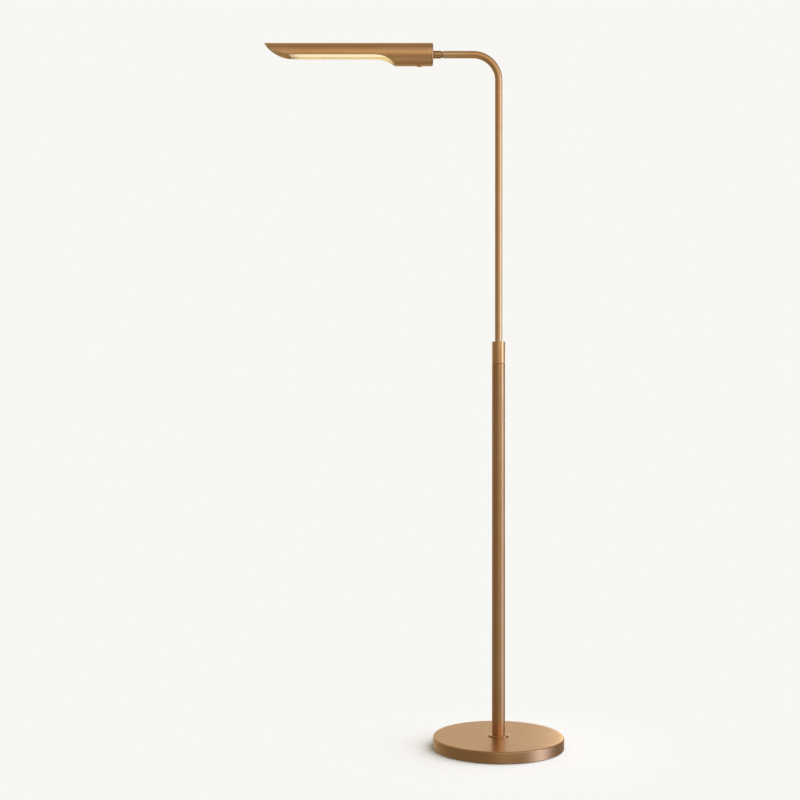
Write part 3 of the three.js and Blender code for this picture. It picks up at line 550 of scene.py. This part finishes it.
def makeFloor():
    count, level = studio["floorSides"], -studio["floorDrop"]
    angles = [2 * math.pi * k / count for k in range(count)]
    rim = [(studio["floorRadius"] * math.cos(a), studio["floorRadius"] * math.sin(a), level) for a in angles]
    wedges = [(0, k + 1, (k + 1) % count + 1) for k in range(count)]
    floor = meshObject("studio_floor", [(0, 0, level)] + rim, wedges)
    finish = Finish("pale floor")
    spot = finish.node("TexCoord", output="Object")
    away = finish.node("VectorMath", {"operation": "LENGTH"}, {0: spot}, "Value")
    solid = finish.range(away, studio["floorClear"], studio["floorFade"], 1, 0)
    paper = finish.node("BsdfDiffuse", None, {"Color": studio["paper"]})
    clear = finish.node("BsdfTransparent")
    shown = finish.node("MixShader", None, {0: solid, 1: clear, 2: paper})
    finish.node("OutputMaterial", None, {"Surface": shown})
    floor.data.materials.append(finish.material)
    floor.visible_glossy = False


makeLights()
makeWorld()
makeFloor()
bpy.context.scene.view_settings.view_transform = studio["view"]
print("camera, lights and floor set")

# ---- geometry nodes: tubes that follow a path, and rows of small pieces ----

class NodeTree:                                   # a geometry tree while it is built
    def __init__(self, name, inputs):
        self.tree = bpy.data.node_groups.new(name, "GeometryNodeTree")
        self.tree.interface.new_socket("Geometry", in_out="OUTPUT", socket_type="NodeSocketGeometry")
        self.sizes = {}
        for label, (kind, value) in inputs.items():
            socket = self.tree.interface.new_socket(label, in_out="INPUT", socket_type="NodeSocket" + kind)
            if kind != "Material":
                socket.default_value = value
            self.sizes[label] = socket.identifier
        self.given = self.tree.nodes.new("NodeGroupInput")

    def node(self, kind, settings=None, sockets=None, output=0):
        made = self.tree.nodes.new(kind)
        for key, value in (settings or {}).items():
            setattr(made, key, value)
        for key, value in (sockets or {}).items():
            if isinstance(value, bpy.types.NodeSocket):
                self.tree.links.new(value, made.inputs[key])
            else:
                made.inputs[key].default_value = value
        return made.outputs[output]

    def size(self, label):
        return self.given.outputs[label]

    def end(self, geometry):
        real = self.node("GeometryNodeRealizeInstances", None, {0: geometry})
        material = self.size("Material")
        dressed = self.node("GeometryNodeSetMaterial", None, {"Geometry": real, "Material": material})
        out = self.tree.nodes.new("NodeGroupOutput")
        self.tree.links.new(dressed, out.inputs[0])

    def grow(self, name, **values):               # a plain mesh made by the tree
        made = bpy.data.objects.new(name, bpy.data.meshes.new(name))
        bpy.context.scene.collection.objects.link(made)
        modifier = made.modifiers.new("tree", "NODES")
        modifier.node_group = self.tree
        for label, value in values.items():
            modifier[self.sizes[label]] = value
        return applied(made)


def tubeTree():                                   # a bent tube: up, round a bend and along
    tree = NodeTree("bent tube", {
        "Foot": ("Vector", (0, 0, 0)), "Corner": ("Vector", (0, 0, 1)), "End": ("Vector", (-1, 0, 1)),
        "Bend": ("Float", 0.05), "Radius": ("Float", 0.007), "Sides": ("Int", 64), "Steps": ("Int", 40),
        "Material": ("Material", None),
    })
    foot, corner, end = (tree.size(label) for label in ("Foot", "Corner", "End"))
    first = tree.node("GeometryNodeCurvePrimitiveLine", None, {"Start": foot, "End": corner})
    second = tree.node("GeometryNodeCurvePrimitiveLine", None, {"Start": corner, "End": end})
    lines = tree.tree.nodes.new("GeometryNodeJoinGeometry")
    tree.tree.links.new(second, lines.inputs[0])
    tree.tree.links.new(first, lines.inputs[0])
    meshed = tree.node("GeometryNodeCurveToMesh", None, {"Curve": lines.outputs[0]})
    welded = tree.node("GeometryNodeMergeByDistance", None, {"Geometry": meshed, "Distance": 1e-5})
    path = tree.node("GeometryNodeMeshToCurve", None, {"Mesh": welded})
    bent = tree.node("GeometryNodeFilletCurve", {"mode": "POLY"}, {
        "Curve": path, "Radius": tree.size("Bend"), "Count": tree.size("Steps")})
    section = tree.node("GeometryNodeCurvePrimitiveCircle", None, {
        "Resolution": tree.size("Sides"), "Radius": tree.size("Radius")})
    tree.end(tree.node("GeometryNodeCurveToMesh", None, {"Curve": bent, "Profile Curve": section}))
    return tree


def spiralTree():                                 # a coiled wire
    tree = NodeTree("coiled wire", {
        "Turns": ("Float", 30), "Coil": ("Float", 0.007), "Height": ("Float", 0.4),
        "Foot": ("Vector", (0, 0, 0)), "Wire": ("Float", 0.0016), "Steps": ("Int", 24), "Sides": ("Int", 10),
        "Material": ("Material", None),
    })
    coil = tree.node("GeometryNodeCurveSpiral", None, {
        "Resolution": tree.size("Steps"), "Rotations": tree.size("Turns"), "Start Radius": tree.size("Coil"),
        "End Radius": tree.size("Coil"), "Height": tree.size("Height"),
    })
    placed = tree.node("GeometryNodeTransform", None, {"Geometry": coil, "Translation": tree.size("Foot")})
    section = tree.node("GeometryNodeCurvePrimitiveCircle", None, {
        "Resolution": tree.size("Sides"), "Radius": tree.size("Wire")})
    wire = {"Curve": placed, "Profile Curve": section, "Fill Caps": True}
    tree.end(tree.node("GeometryNodeCurveToMesh", None, wire))
    return tree


ledRows = {
    "pitch": 6.4 * mm, "apart": 13 * mm, "margin": 8 * mm, "drop": 0.35 * mm,
    "body": (3 * mm, 2.8 * mm, 0.5 * mm), "lens": 1.1 * mm, "lensDrop": 0.22 * mm, "lensFlatness": 0.35,
}


def ledTree():                                    # two rows of LEDs under the board
    tree = NodeTree("led rows", {
        "Count": ("Int", 30), "Pitch": ("Float", 0.006), "Start": ("Vector", (0, 0, 0)),
        "Row": ("Float", 0.012), "Material": ("Material", None),
    })
    half = tree.node("ShaderNodeMath", {"operation": "MULTIPLY"}, {0: tree.size("Row"), 1: 0.5})
    step = tree.node("ShaderNodeCombineXYZ", None, {0: tree.size("Pitch")})
    body = tree.node("GeometryNodeMeshCube", None, {"Size": ledRows["body"]})
    lens = tree.node("GeometryNodeMeshUVSphere", None, {
        "Segments": 16, "Rings": 8, "Radius": ledRows["lens"]})
    flat = tree.node("GeometryNodeTransform", None, {
        "Geometry": lens, "Scale": (1, 1, ledRows["lensFlatness"]),
        "Translation": (0, 0, -ledRows["lensDrop"])})
    joined = tree.tree.nodes.new("GeometryNodeJoinGeometry")
    for sign in (1, -1):
        side = tree.node("ShaderNodeMath", {"operation": "MULTIPLY"}, {0: half, 1: sign})
        offset = tree.node("ShaderNodeCombineXYZ", None, {1: side})
        start = tree.node("ShaderNodeVectorMath", {"operation": "ADD"}, {0: tree.size("Start"), 1: offset})
        row = tree.node("GeometryNodeMeshLine", {"mode": "OFFSET"}, {
            "Count": tree.size("Count"), "Start Location": start, "Offset": step})
        for part in (body, flat):
            spread = tree.node("GeometryNodeInstanceOnPoints", None, {"Points": row, "Instance": part})
            tree.tree.links.new(spread, joined.inputs[0])
    tree.end(joined.outputs[0])
    return tree


# ---- the base ----

base = {
    "edge": 2.8 * mm, "wall": 1.2 * mm, "sides": 256,
    "nippleGap": 0.15 * mm, "washerGap": 0.1 * mm,
    "inletRadius": 4.95 * mm,                     # the hole for the cord's bush
    "inletReach": (0.12, 0.13),
    "flangeGap": 0.12 * mm, "flangeChamfer": 0.8 * mm, "flangeRound": 0.35 * mm,
    "padRound": 0.5 * mm,
    "pocket": 17 * mm,                            # room under the weight for the nut
    "channel": 6.7 * mm,                          # half the width of the cord's way through the weight
    "weightRound": 0.8 * mm,
}
bush = {
    "bore": 3.3 * mm, "barrel": 4.8 * mm, "catch": 5.5 * mm, "catchDepth": 1.4 * mm, "mouth": 3.6 * mm,
    "taper": 0.5 * mm, "gap": 0.1 * mm, "round": 0.4 * mm, "sides": 64,
}


def makeBase():
    low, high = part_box("base_cover")
    radius = high[0]
    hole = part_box("threaded_nipple")[1][0] + base["nippleGap"]
    ceiling = high[2] - base["wall"]
    inner = radius - base["wall"]
    outline = [(inner, low[2]), (radius, low[2])] + crowned(radius, high[2], base["edge"])
    outline += [(radius * share, high[2]) for share in (0.9, 0.7, 0.5, 0.3)]
    outline += [(hole, high[2]), (hole, ceiling), (inner, ceiling)]
    cover = turned("brass_base_cover", outline, sides=base["sides"])
    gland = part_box("cord_gland")
    glandHeight = (gland[0][2] + gland[1][2]) / 2
    start, end = base["inletReach"]
    inlet = [(0, start), (base["inletRadius"], start), (base["inletRadius"], end), (0, end)]
    carved(cover, turned("gland_hole_tool", inlet, "y", (0, 0, glandHeight), 48))
    finished(markWearAndSheen(cover), "base", "satin_brass", baseFinish, "base_cover")

    low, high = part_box("base_flange")
    bore = poleRadius + base["flangeGap"]
    chamfer = base["flangeChamfer"]
    outline = [(bore, low[2]), (high[0], low[2]), (high[0], high[2] - chamfer), (high[0] - chamfer, high[2]),
               (bore, high[2])]
    flange = turned("turned_foot_flange", softened(outline, base["flangeRound"]), sides=160)
    finished(markWearAndSheen(flange), "base", "satin_brass", turnedFinish, "base_flange")

    low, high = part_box("floor_pad")
    outline = [(0, low[2]), (high[0], low[2]), (high[0], high[2]), (0, high[2])]
    pad = turned("felt_floor_pad", softened(outline, base["padRound"]), sides=160)
    finished(pad, "base", "dark_felt", blackFelt, "floor_pad")

    low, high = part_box("base_weight")
    pocket = base["pocket"]
    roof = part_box("nipple_washer")[1][2] + base["washerGap"]
    outline = [(pocket, low[2]), (high[0], low[2]), (high[0], high[2] - base["edge"]),
               (high[0] - base["edge"], high[2]), (hole, high[2]), (hole, roof), (pocket, roof)]
    weight = turned("cast_iron_weight", softened(outline, base["weightRound"]), sides=160)
    channel = base["channel"]
    floor, top = low[2] - 10 * mm, glandHeight + channel
    section = [(0.0, floor), (0.2, floor), (0.2, top), (0.0, top)]
    carved(weight, extruded("channel_tool", section, -channel, channel))
    finished(weight, "base", "cast_iron", castIron, "base_weight")

    low, high = gland
    barrel, flangeRadius = bush["barrel"], (high[0] - low[0]) / 2
    coverFace = radius + bush["gap"]
    catchEnd = low[1] + bush["catchDepth"]
    outline = [(bush["bore"], low[1]), (barrel, low[1]), (bush["catch"], catchEnd),
               (barrel, catchEnd + bush["gap"]), (barrel, coverFace), (flangeRadius, coverFace),
               (flangeRadius - bush["taper"], high[1]), (bush["mouth"], high[1])]
    outline = softened(outline, bush["round"])
    inletBush = turned("cord_inlet_bush", outline, "y", (0, 0, glandHeight), bush["sides"])
    finished(inletBush, "base", "black_plastic", blackPlastic, "cord_gland")


# ---- the pole, the collar and the stem ----

pole = {
    "wall": 1.4 * mm, "rings": 24, "round": 0.3 * mm, "sides": 128,
    "insertGap": 0.1 * mm, "insertLip": 2.8 * mm, "colletDrop": 0.5 * mm, "plugRound": 0.8 * mm,
}
nipple = {"bore": 3.5 * mm, "pitch": 1 * mm, "depth": 0.4 * mm, "sides": 64}
collar = {
    "chamfer": 0.35 * mm, "round": 0.35 * mm, "sides": 128,
    "lip": 4 * mm, "neckGap": 3.1 * mm, "tipGap": 1.9 * mm,
}
stem = {"wall": 1.2 * mm, "bend": 50 * mm, "clearance": 0.2 * mm, "sides": 96, "bendSteps": 48}
coil = {"turns": 16.0, "wire": 1.6 * mm}          # of the lead inside the pole


def threaded(outline, pitch, depth):              # shallow ridges of a thread on an outline's outer wall
    result = []
    outer = max(radius for radius, height in outline)
    for index, (radius, height) in enumerate(outline):
        result.append((radius, height))
        following = outline[(index + 1) % len(outline)]
        if radius == outer and abs(radius - following[0]) < 1e-7:
            halves = int(abs(following[1] - height) / pitch) * 2
            for half in range(1, halves):
                shift = depth if half % 2 else 0
                result.append((radius - shift, height + (following[1] - height) * half / halves))
    return result


def makePole():
    low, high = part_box("lower_tube")
    inner = poleRadius - pole["wall"]
    heights = [low[2] + (high[2] - low[2]) * k / pole["rings"] for k in range(pole["rings"] + 1)]
    outline = [(inner, low[2])] + [(poleRadius, height) for height in heights] + [(inner, high[2])]
    tube = turned("brass_lower_tube", softened(outline, pole["round"]), sides=pole["sides"])
    finished(markWearAndSheen(tube), "base", "satin_brass", poleFinish, "lower_tube")

    low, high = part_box("tube_top_insert")
    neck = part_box("collet")[0][2] - pole["colletDrop"]
    bore = stemRadius + stem["clearance"]
    barrel, lip, top = inner - pole["insertGap"], bore + pole["insertLip"], poleHigh[2]
    outline = [(bore, low[2]), (barrel, low[2]), (barrel, top), (lip, top), (lip, neck), (bore, neck)]
    insert = turned("turned_tube_insert", softened(outline, pole["round"]), sides=96)
    finished(insert, "base", "polished_brass", turnedFinish, "tube_top_insert")

    low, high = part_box("pole_foot_plug")
    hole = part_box("threaded_nipple")[1][0] + base["nippleGap"]
    outline = [(hole, low[2]), (high[0], low[2]), (high[0], high[2]), (hole, high[2])]
    plug = turned("turned_foot_plug", softened(outline, pole["plugRound"]), sides=96)
    finished(plug, "base", "polished_brass", turnedFinish, "pole_foot_plug")

    low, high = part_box("threaded_nipple")
    bore = nipple["bore"]
    outline = [(bore, low[2]), (high[0], low[2]), (high[0], high[2]), (bore, high[2])]
    outline = threaded(outline, nipple["pitch"], nipple["depth"])
    cutNipple = turned("cut_thread_nipple", outline, sides=nipple["sides"])
    finished(cutNipple, "base", "zinc_steel", zincPlate, "threaded_nipple")


def makeCollar():
    low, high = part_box("lock_collar")
    colletLow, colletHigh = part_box("collet")
    bore = stemRadius + stem["clearance"]
    neckBore, tipBore = bore + collar["neckGap"], bore + collar["tipGap"]
    chamfer, lip = collar["chamfer"], high[2] - collar["lip"]
    outline = [(neckBore, low[2]), (poleRadius - chamfer * 0.5, low[2]), (poleRadius, low[2] + chamfer * 0.5)]
    outline += [(poleRadius, low[2] + (high[2] - low[2]) * share) for share in (0.3, 0.6)]
    outline += [(poleRadius, high[2] - chamfer), (poleRadius - chamfer, high[2]), (bore, high[2]),
                (bore, lip), (tipBore, lip), (tipBore, colletHigh[2]), (neckBore, colletLow[2])]
    ring = turned("brass_twist_collar", softened(outline, collar["round"]), sides=collar["sides"])
    finished(markWearAndSheen(ring), "collar", "satin_brass", stemFinish, "lock_collar")


def makeStem():
    low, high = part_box("stem_arm")
    path = {"Foot": (0, 0, low[2]), "Corner": (0, 0, armHeight), "End": (low[0], 0, armHeight)}
    tube = tubeTree().grow(
        "bent_stem_and_arm", Radius=stemRadius, Sides=stem["sides"], Bend=stem["bend"],
        Steps=stem["bendSteps"], Material=stemFinish, **path)
    wall = tube.modifiers.new("wall", "SOLIDIFY")
    wall.thickness = stem["wall"]
    wall.offset = -1
    wall.use_even_offset = True
    applied(tube)
    finished(markWearAndSheen(tube), "arm", "satin_brass", stemFinish, "stem_arm")

    low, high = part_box("coiled_lead")
    wire = coil["wire"]
    lead = spiralTree().grow(
        "coiled_lead_spring", Turns=coil["turns"], Coil=(high[0] - low[0]) / 2 - wire, Wire=wire,
        Height=high[2] - low[2] - wire * 2, Foot=(0, 0, low[2] + wire), Material=sheath)
    finished(lead, "base", "lead_sheath", sheath, "coiled_lead")
    tall = high[2] - low[2]
    least = (tall - longestTravel("height_slide")) / tall
    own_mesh(lead)


# ---- the head ----

head = {
    "radius": 22.225 * mm, "wall": 1.3 * mm, "edge": 0.22 * mm,
    "cutDrop": 4.3 * mm,                          # the cut-out's straight edges lie this far under the axis
    "frontSweep": 77.4 * mm, "rearSweep": 50.4 * mm, "rearSweepReach": 199.9 * mm,
    "across": 80, "lengthwise": (30, 70),
    "buttonHole": 6.75 * mm,
}
rearCap = {"spigotHole": 4.7 * mm, "crown": 2.4 * mm, "fit": 0.3 * mm, "corner": 0.15 * mm, "flat": 0.55}
ferrule = {"chamfer": 0.9 * mm, "round": 0.3 * mm}
armPlug = {"bore": 3 * mm, "spigot": 4.5 * mm, "gap": 0.1 * mm, "inset": 0.2 * mm, "round": 0.25 * mm}
washer = {"hole": 4.6 * mm, "round": 0.15 * mm}


def cutEnd(height):                               # where the shade ends, by the height above its axis
    drop = head["cutDrop"]
    if height >= -drop:
        sweep = head["frontSweep"]
        tip = -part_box("shade_tube")[0][0]
        full = math.sqrt(sweep ** 2 - (head["radius"] + drop - sweep) ** 2)
        return -tip + full - math.sqrt(max(0, sweep ** 2 - (height + drop - sweep) ** 2))
    sweep = head["rearSweep"]
    full = math.sqrt(sweep ** 2 - (sweep - head["radius"] + drop) ** 2)
    return -head["rearSweepReach"] - full + math.sqrt(max(0, sweep ** 2 - (height + drop + sweep) ** 2))


def makeShade():
    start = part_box("shade_tube")[1][0]
    across, (rearSteps, frontSteps) = head["across"], head["lengthwise"]
    straightEnd = cutEnd(-head["cutDrop"] - 1e-9)
    points, faces = [], []

    def skin(radius):                             # the grids above and below the cut-out's straight edge
        dip = math.asin(head["cutDrop"] / radius)
        rows = []
        for step in range(across + 1):            # over the top, from one straight edge to the other
            angle = -dip + (math.pi + 2 * dip) * step / across
            end = cutEnd(max(-head["cutDrop"], radius * math.sin(angle)))
            rear = [start + (straightEnd - start) * k / rearSteps for k in range(rearSteps + 1)]
            front = [straightEnd + (end - straightEnd) * k / frontSteps for k in range(1, frontSteps + 1)]
            rows.append((angle, rear + front))
        for step in range(1, across // 2):        # under the bottom, back to the first edge
            angle = math.pi + dip + (math.pi - 2 * dip) * step / (across // 2)
            end = cutEnd(radius * math.sin(angle))
            rows.append((angle, [start + (end - start) * k / rearSteps for k in range(rearSteps + 1)]))
        first = []
        for angle, places in rows:
            first.append(len(points))
            for place in places:
                points.append((place, radius * math.cos(angle), armHeight + radius * math.sin(angle)))
        return first, rows

    outer, rows = skin(head["radius"])
    inner, _ = skin(head["radius"] - head["wall"])
    for first in (outer, inner):
        for row in range(len(rows)):
            following = (row + 1) % len(rows)
            count = min(len(rows[row][1]), len(rows[following][1]))
            for k in range(count - 1):
                here, there = first[row] + k, first[following] + k
                faces.append((here, here + 1, there + 1, there))
    for row in range(len(rows)):                  # the rims: the rear end, the sweeps and the straight edges
        following = (row + 1) % len(rows)
        rim = (outer[row], outer[following], inner[following], inner[row])
        faces.append(rim)
        count = min(len(rows[row][1]), len(rows[following][1])) - 1
        faces.append(tuple(corner + count for corner in rim))
    for row in (0, across):
        for k in range(rearSteps, rearSteps + frontSteps):
            faces.append((outer[row] + k, outer[row] + k + 1, inner[row] + k + 1, inner[row] + k))
    shade = meshObject("cut_away_shade", points, faces)
    guideLow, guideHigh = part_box("button_guide")
    centre = ((guideLow[0] + guideHigh[0]) / 2, 0, 0)
    nose = head["buttonHole"]
    bottom = armHeight - head["radius"]
    start, end = bottom - 10 * mm, bottom + 10 * mm
    hole = [(0, start), (nose, start), (nose, end), (0, end)]
    carved(shade, turned("button_hole_tool", hole, "z", centre, 64))
    bevelled(shade, head["edge"])
    markWithin(markWearAndSheen(shade), head["radius"] - head["wall"] * 0.6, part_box("end_plate")[0][0])
    finished(shade, "head", "satin_brass", shadeFinish, "shade_tube")


def makeHead():
    makeShade()
    centre = (0, 0, armHeight)
    low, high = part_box("rear_cap")
    radius, hole, rear = head["radius"], rearCap["spigotHole"], high[0]
    step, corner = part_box("shade_tube")[1][0] + rearCap["fit"], rearCap["corner"]
    inset = radius - head["wall"] - rearCap["fit"]
    outline = [(hole, low[0]), (inset, low[0]), (inset, step), (radius - corner, step)]
    outline += [(radius, step + corner)] + crowned(radius, rear, rearCap["crown"])
    outline += [(radius * rearCap["flat"], rear), (hole, rear)]
    cap = turned("crowned_rear_cap", outline, "x", centre, 160)
    finished(markWearAndSheen(cap), "head", "satin_brass", capFinish, "rear_cap")

    low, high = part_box("neck_ferrule")
    radius, chamfer = (high[2] - low[2]) / 2, ferrule["chamfer"]
    outline = [(hole, low[0]), (radius, low[0]), (radius, high[0] - chamfer), (radius - chamfer, high[0]),
               (hole, high[0])]
    neck = turned("turned_neck_ferrule", softened(outline, ferrule["round"]), "x", centre, 96)
    finished(markWearAndSheen(neck), "head", "satin_brass", turnedFinish, "neck_ferrule")

    low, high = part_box("arm_tip_plug")
    ringLow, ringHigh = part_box("fibre_washer")
    shoulder = (high[2] - low[2]) / 2
    face, step = ringHigh[0] + armPlug["gap"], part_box("stem_arm")[0][0] - armPlug["inset"]
    bore, spigot, barrel = armPlug["bore"], armPlug["spigot"], stemRadius - stem["wall"] - armPlug["gap"]
    outline = [(bore, low[0]), (spigot, low[0]), (spigot, face), (shoulder, face), (shoulder, step),
               (barrel, step), (barrel, high[0]), (bore, high[0])]
    plug = turned("turned_arm_plug", softened(outline, armPlug["round"]), "x", centre, 96)
    finished(plug, "arm", "polished_brass", turnedFinish, "arm_tip_plug")
    hole = washer["hole"]
    outline = [(hole, ringLow[0]), (shoulder, ringLow[0]), (shoulder, ringHigh[0]), (hole, ringHigh[0])]
    ring = turned("pressed_fibre_washer", softened(outline, washer["round"]), "x", centre, 96)
    finished(ring, "arm", "dark_fibre", fibre, "fibre_washer")
    makeButton()
    makeLight()


button = {
    "radius": 5.5 * mm, "gap": 0.3 * mm, "nose": 6.6 * mm, "guideStep": 19 * mm, "guideRound": 0.2 * mm,
    "dome": 1.2 * mm, "domePower": 1.2, "domeSteps": 10,
    "shoulderGap": 0.1 * mm, "shoulder": 1 * mm, "pin": 1.5 * mm,
}
buttonSpring = {"turns": 3.5, "wire": 0.35 * mm}


def makeButton():
    low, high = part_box("button_guide")
    centre = ((low[0] + high[0]) / 2, 0, 0)
    radius, nose, shoulderLow = button["radius"], button["nose"], high[2] + button["shoulderGap"]
    bore, flange = radius + button["gap"], (high[1] - low[1]) / 2
    step = armHeight - button["guideStep"]
    outline = [(bore, low[2]), (nose, low[2]), (nose, step), (flange, step), (flange, high[2]),
               (bore, high[2])]
    guide = turned("turned_button_guide", softened(outline, button["guideRound"]), "z", centre, 96)
    finished(markWearAndSheen(guide), "head", "satin_brass", turnedFinish, "button_guide")

    low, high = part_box("push_button")
    dome = []
    for step in range(1, button["domeSteps"] + 1):
        angle = math.pi / 2 * step / button["domeSteps"]
        rise = button["dome"] * (1 - math.cos(angle)) ** button["domePower"]
        dome.append((radius * math.sin(angle), low[2] + rise))
    shoulder, shoulderHigh, pin = (high[1] - low[1]) / 2, shoulderLow + button["shoulder"], button["pin"]
    outline = [(0, low[2])] + dome + [(radius, shoulderLow), (shoulder, shoulderLow)]
    outline += [(shoulder, shoulderHigh), (pin, shoulderHigh), (pin, high[2]), (0, high[2])]
    pushed = turned("domed_push_button", outline, "z", centre, 96)
    finished(markWearAndSheen(pushed), "button", "polished_brass", buttonFinish, "push_button")

    low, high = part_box("button_spring")
    wire = buttonSpring["wire"]
    spring = spiralTree().grow(
        "button_return_spring", Turns=buttonSpring["turns"], Coil=(high[1] - low[1]) / 2 - wire, Wire=wire,
        Height=high[2] - low[2] - wire * 2, Foot=(centre[0], 0, low[2] + wire), Material=zincPlate)
    finished(spring, "head", "zinc_steel", zincPlate, "button_spring")
    tall = high[2] - low[2]
    least = (tall - longestTravel("button_press")) / tall
    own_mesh(spring)


diffuser = {
    "glow": (1.0, 0.84, 0.52, 1), "edgeGlow": (1.0, 0.78, 0.42, 1), "strength": 0.66,
    "level": 0.72, "beat": 0.06, "band": 0.22, "bandReach": 9 * mm, "cloud": 120,
    "endReach": 20 * mm, "endShare": 0.35,        # the glow drops to this share at both ends
    "face": 1.2 * mm, "web": 2 * mm, "ledge": 1 * mm, "round": 0.5 * mm, "edge": 0.25 * mm,
}
phosphor = {"grain": 4200, "strength": 0.9}


def glowFinish():
    finish = Finish("lit opal acrylic")
    spot = finish.node("TexCoord", output="Object")
    x, y, _ = finish.split(spot)
    beat = (x * (2 * math.pi / ledRows["pitch"])).maths("COSINE") * diffuser["beat"]
    rows = (y.maths("ABSOLUTE") - ledRows["apart"] / 2).maths("ABSOLUTE")
    band = finish.range(rows, 0.0, diffuser["bandReach"], diffuser["band"], 0.0)
    clouds = finish.noise(spot, diffuser["cloud"], 3)
    level = diffuser["level"] + beat + band + (clouds - 0.5) * 0.1
    tone = finish.blend(level, diffuser["edgeGlow"], diffuser["glow"])
    low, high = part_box("diffuser")
    reach, share = diffuser["endReach"], diffuser["endShare"]
    front = finish.range(x, low[0], low[0] + reach, share, 1)
    faded = front * finish.range(x, high[0] - reach, high[0], 1, share)
    return finish.surface(
        Base_Color=colour(250, 236, 206), Roughness=0.35,
        Emission_Color=finish.blend(faded, (0, 0, 0, 1), tone), Emission_Strength=diffuser["strength"],
    )


def ledFinish():                                  # a pale phosphor that glows
    finish = Finish("lit phosphor")
    grain = finish.noise(finish.node("TexCoord", output="Object"), phosphor["grain"], 2)
    tone = finish.blend(grain, colour(250, 214, 120), colour(255, 232, 160))
    return finish.surface(
        Base_Color=tone, Roughness=0.45, Emission_Color=tone, Emission_Strength=phosphor["strength"])


def makeLight():
    low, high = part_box("diffuser")
    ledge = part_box("led_board")[1][1]
    web = ledge - diffuser["web"]
    faceTop, ledgeLow = low[2] + diffuser["face"], high[2] - diffuser["ledge"]
    half = [(high[1], low[2]), (high[1], faceTop), (web, faceTop), (web, ledgeLow), (ledge, ledgeLow),
            (ledge, high[2])]
    outline = half + [(-across, height) for across, height in half[::-1]]
    sheet = extruded("lit_opal_diffuser", softened(outline, diffuser["round"]), low[0], high[0])
    bevelled(sheet, diffuser["edge"], angle=60)
    finished(sheet, "head", "opal_acrylic", glowFinish(), "diffuser")

    low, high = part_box("led_board")
    pitch = ledRows["pitch"]
    count = int((high[0] - low[0] - ledRows["margin"]) / pitch)
    start = ((low[0] + high[0]) / 2 - (count - 1) * pitch / 2, 0, low[2] - ledRows["drop"])
    lit = ledFinish()
    leds = ledTree().grow(
        "led_rows", Count=count, Pitch=pitch, Start=start, Row=ledRows["apart"], Material=lit)
    finished(leds, "head", "opal_acrylic", lit)


# ---- the CAD pieces that keep their own mesh ----

keptFinishes = {
    "bottom_plate": zincPlate, "plate_screw": zincPlate, "nipple_washer": zincPlate,
    "nipple_nut": zincPlate, "collet": nylon, "stem_guide": nylon, "retaining_clip": zincPlate,
    "swivel_stop_pin": zincPlate,
    "arm_lead": sheath, "stop_washer": zincPlate, "spigot_nut": zincPlate, "roll_stop_pin": zincPlate,
    "bulkhead": aluminium, "bulkhead_screw": zincPlate, "heat_sink": aluminium, "led_board": boardWhite,
    "end_plate": endPlateFinish, "end_plate_screw": zincPlate, "driver_tray": zincPlate,
    "tray_screw": zincPlate, "driver_case": blackPlastic, "switch_module": blackPlastic,
}


def dressKept():
    for name, node in frame["nodes"].items():
        family = name.rstrip("0123456789").rstrip("_")
        material = keptFinishes.get(name) or keptFinishes.get(family)
        if material:
            for place in node.material_slots:
                place.material = material


makeBase()
print("base made")
makePole()
makeCollar()
makeStem()
print("pole, collar and stem made")
makeHead()
print("head made")
dressKept()
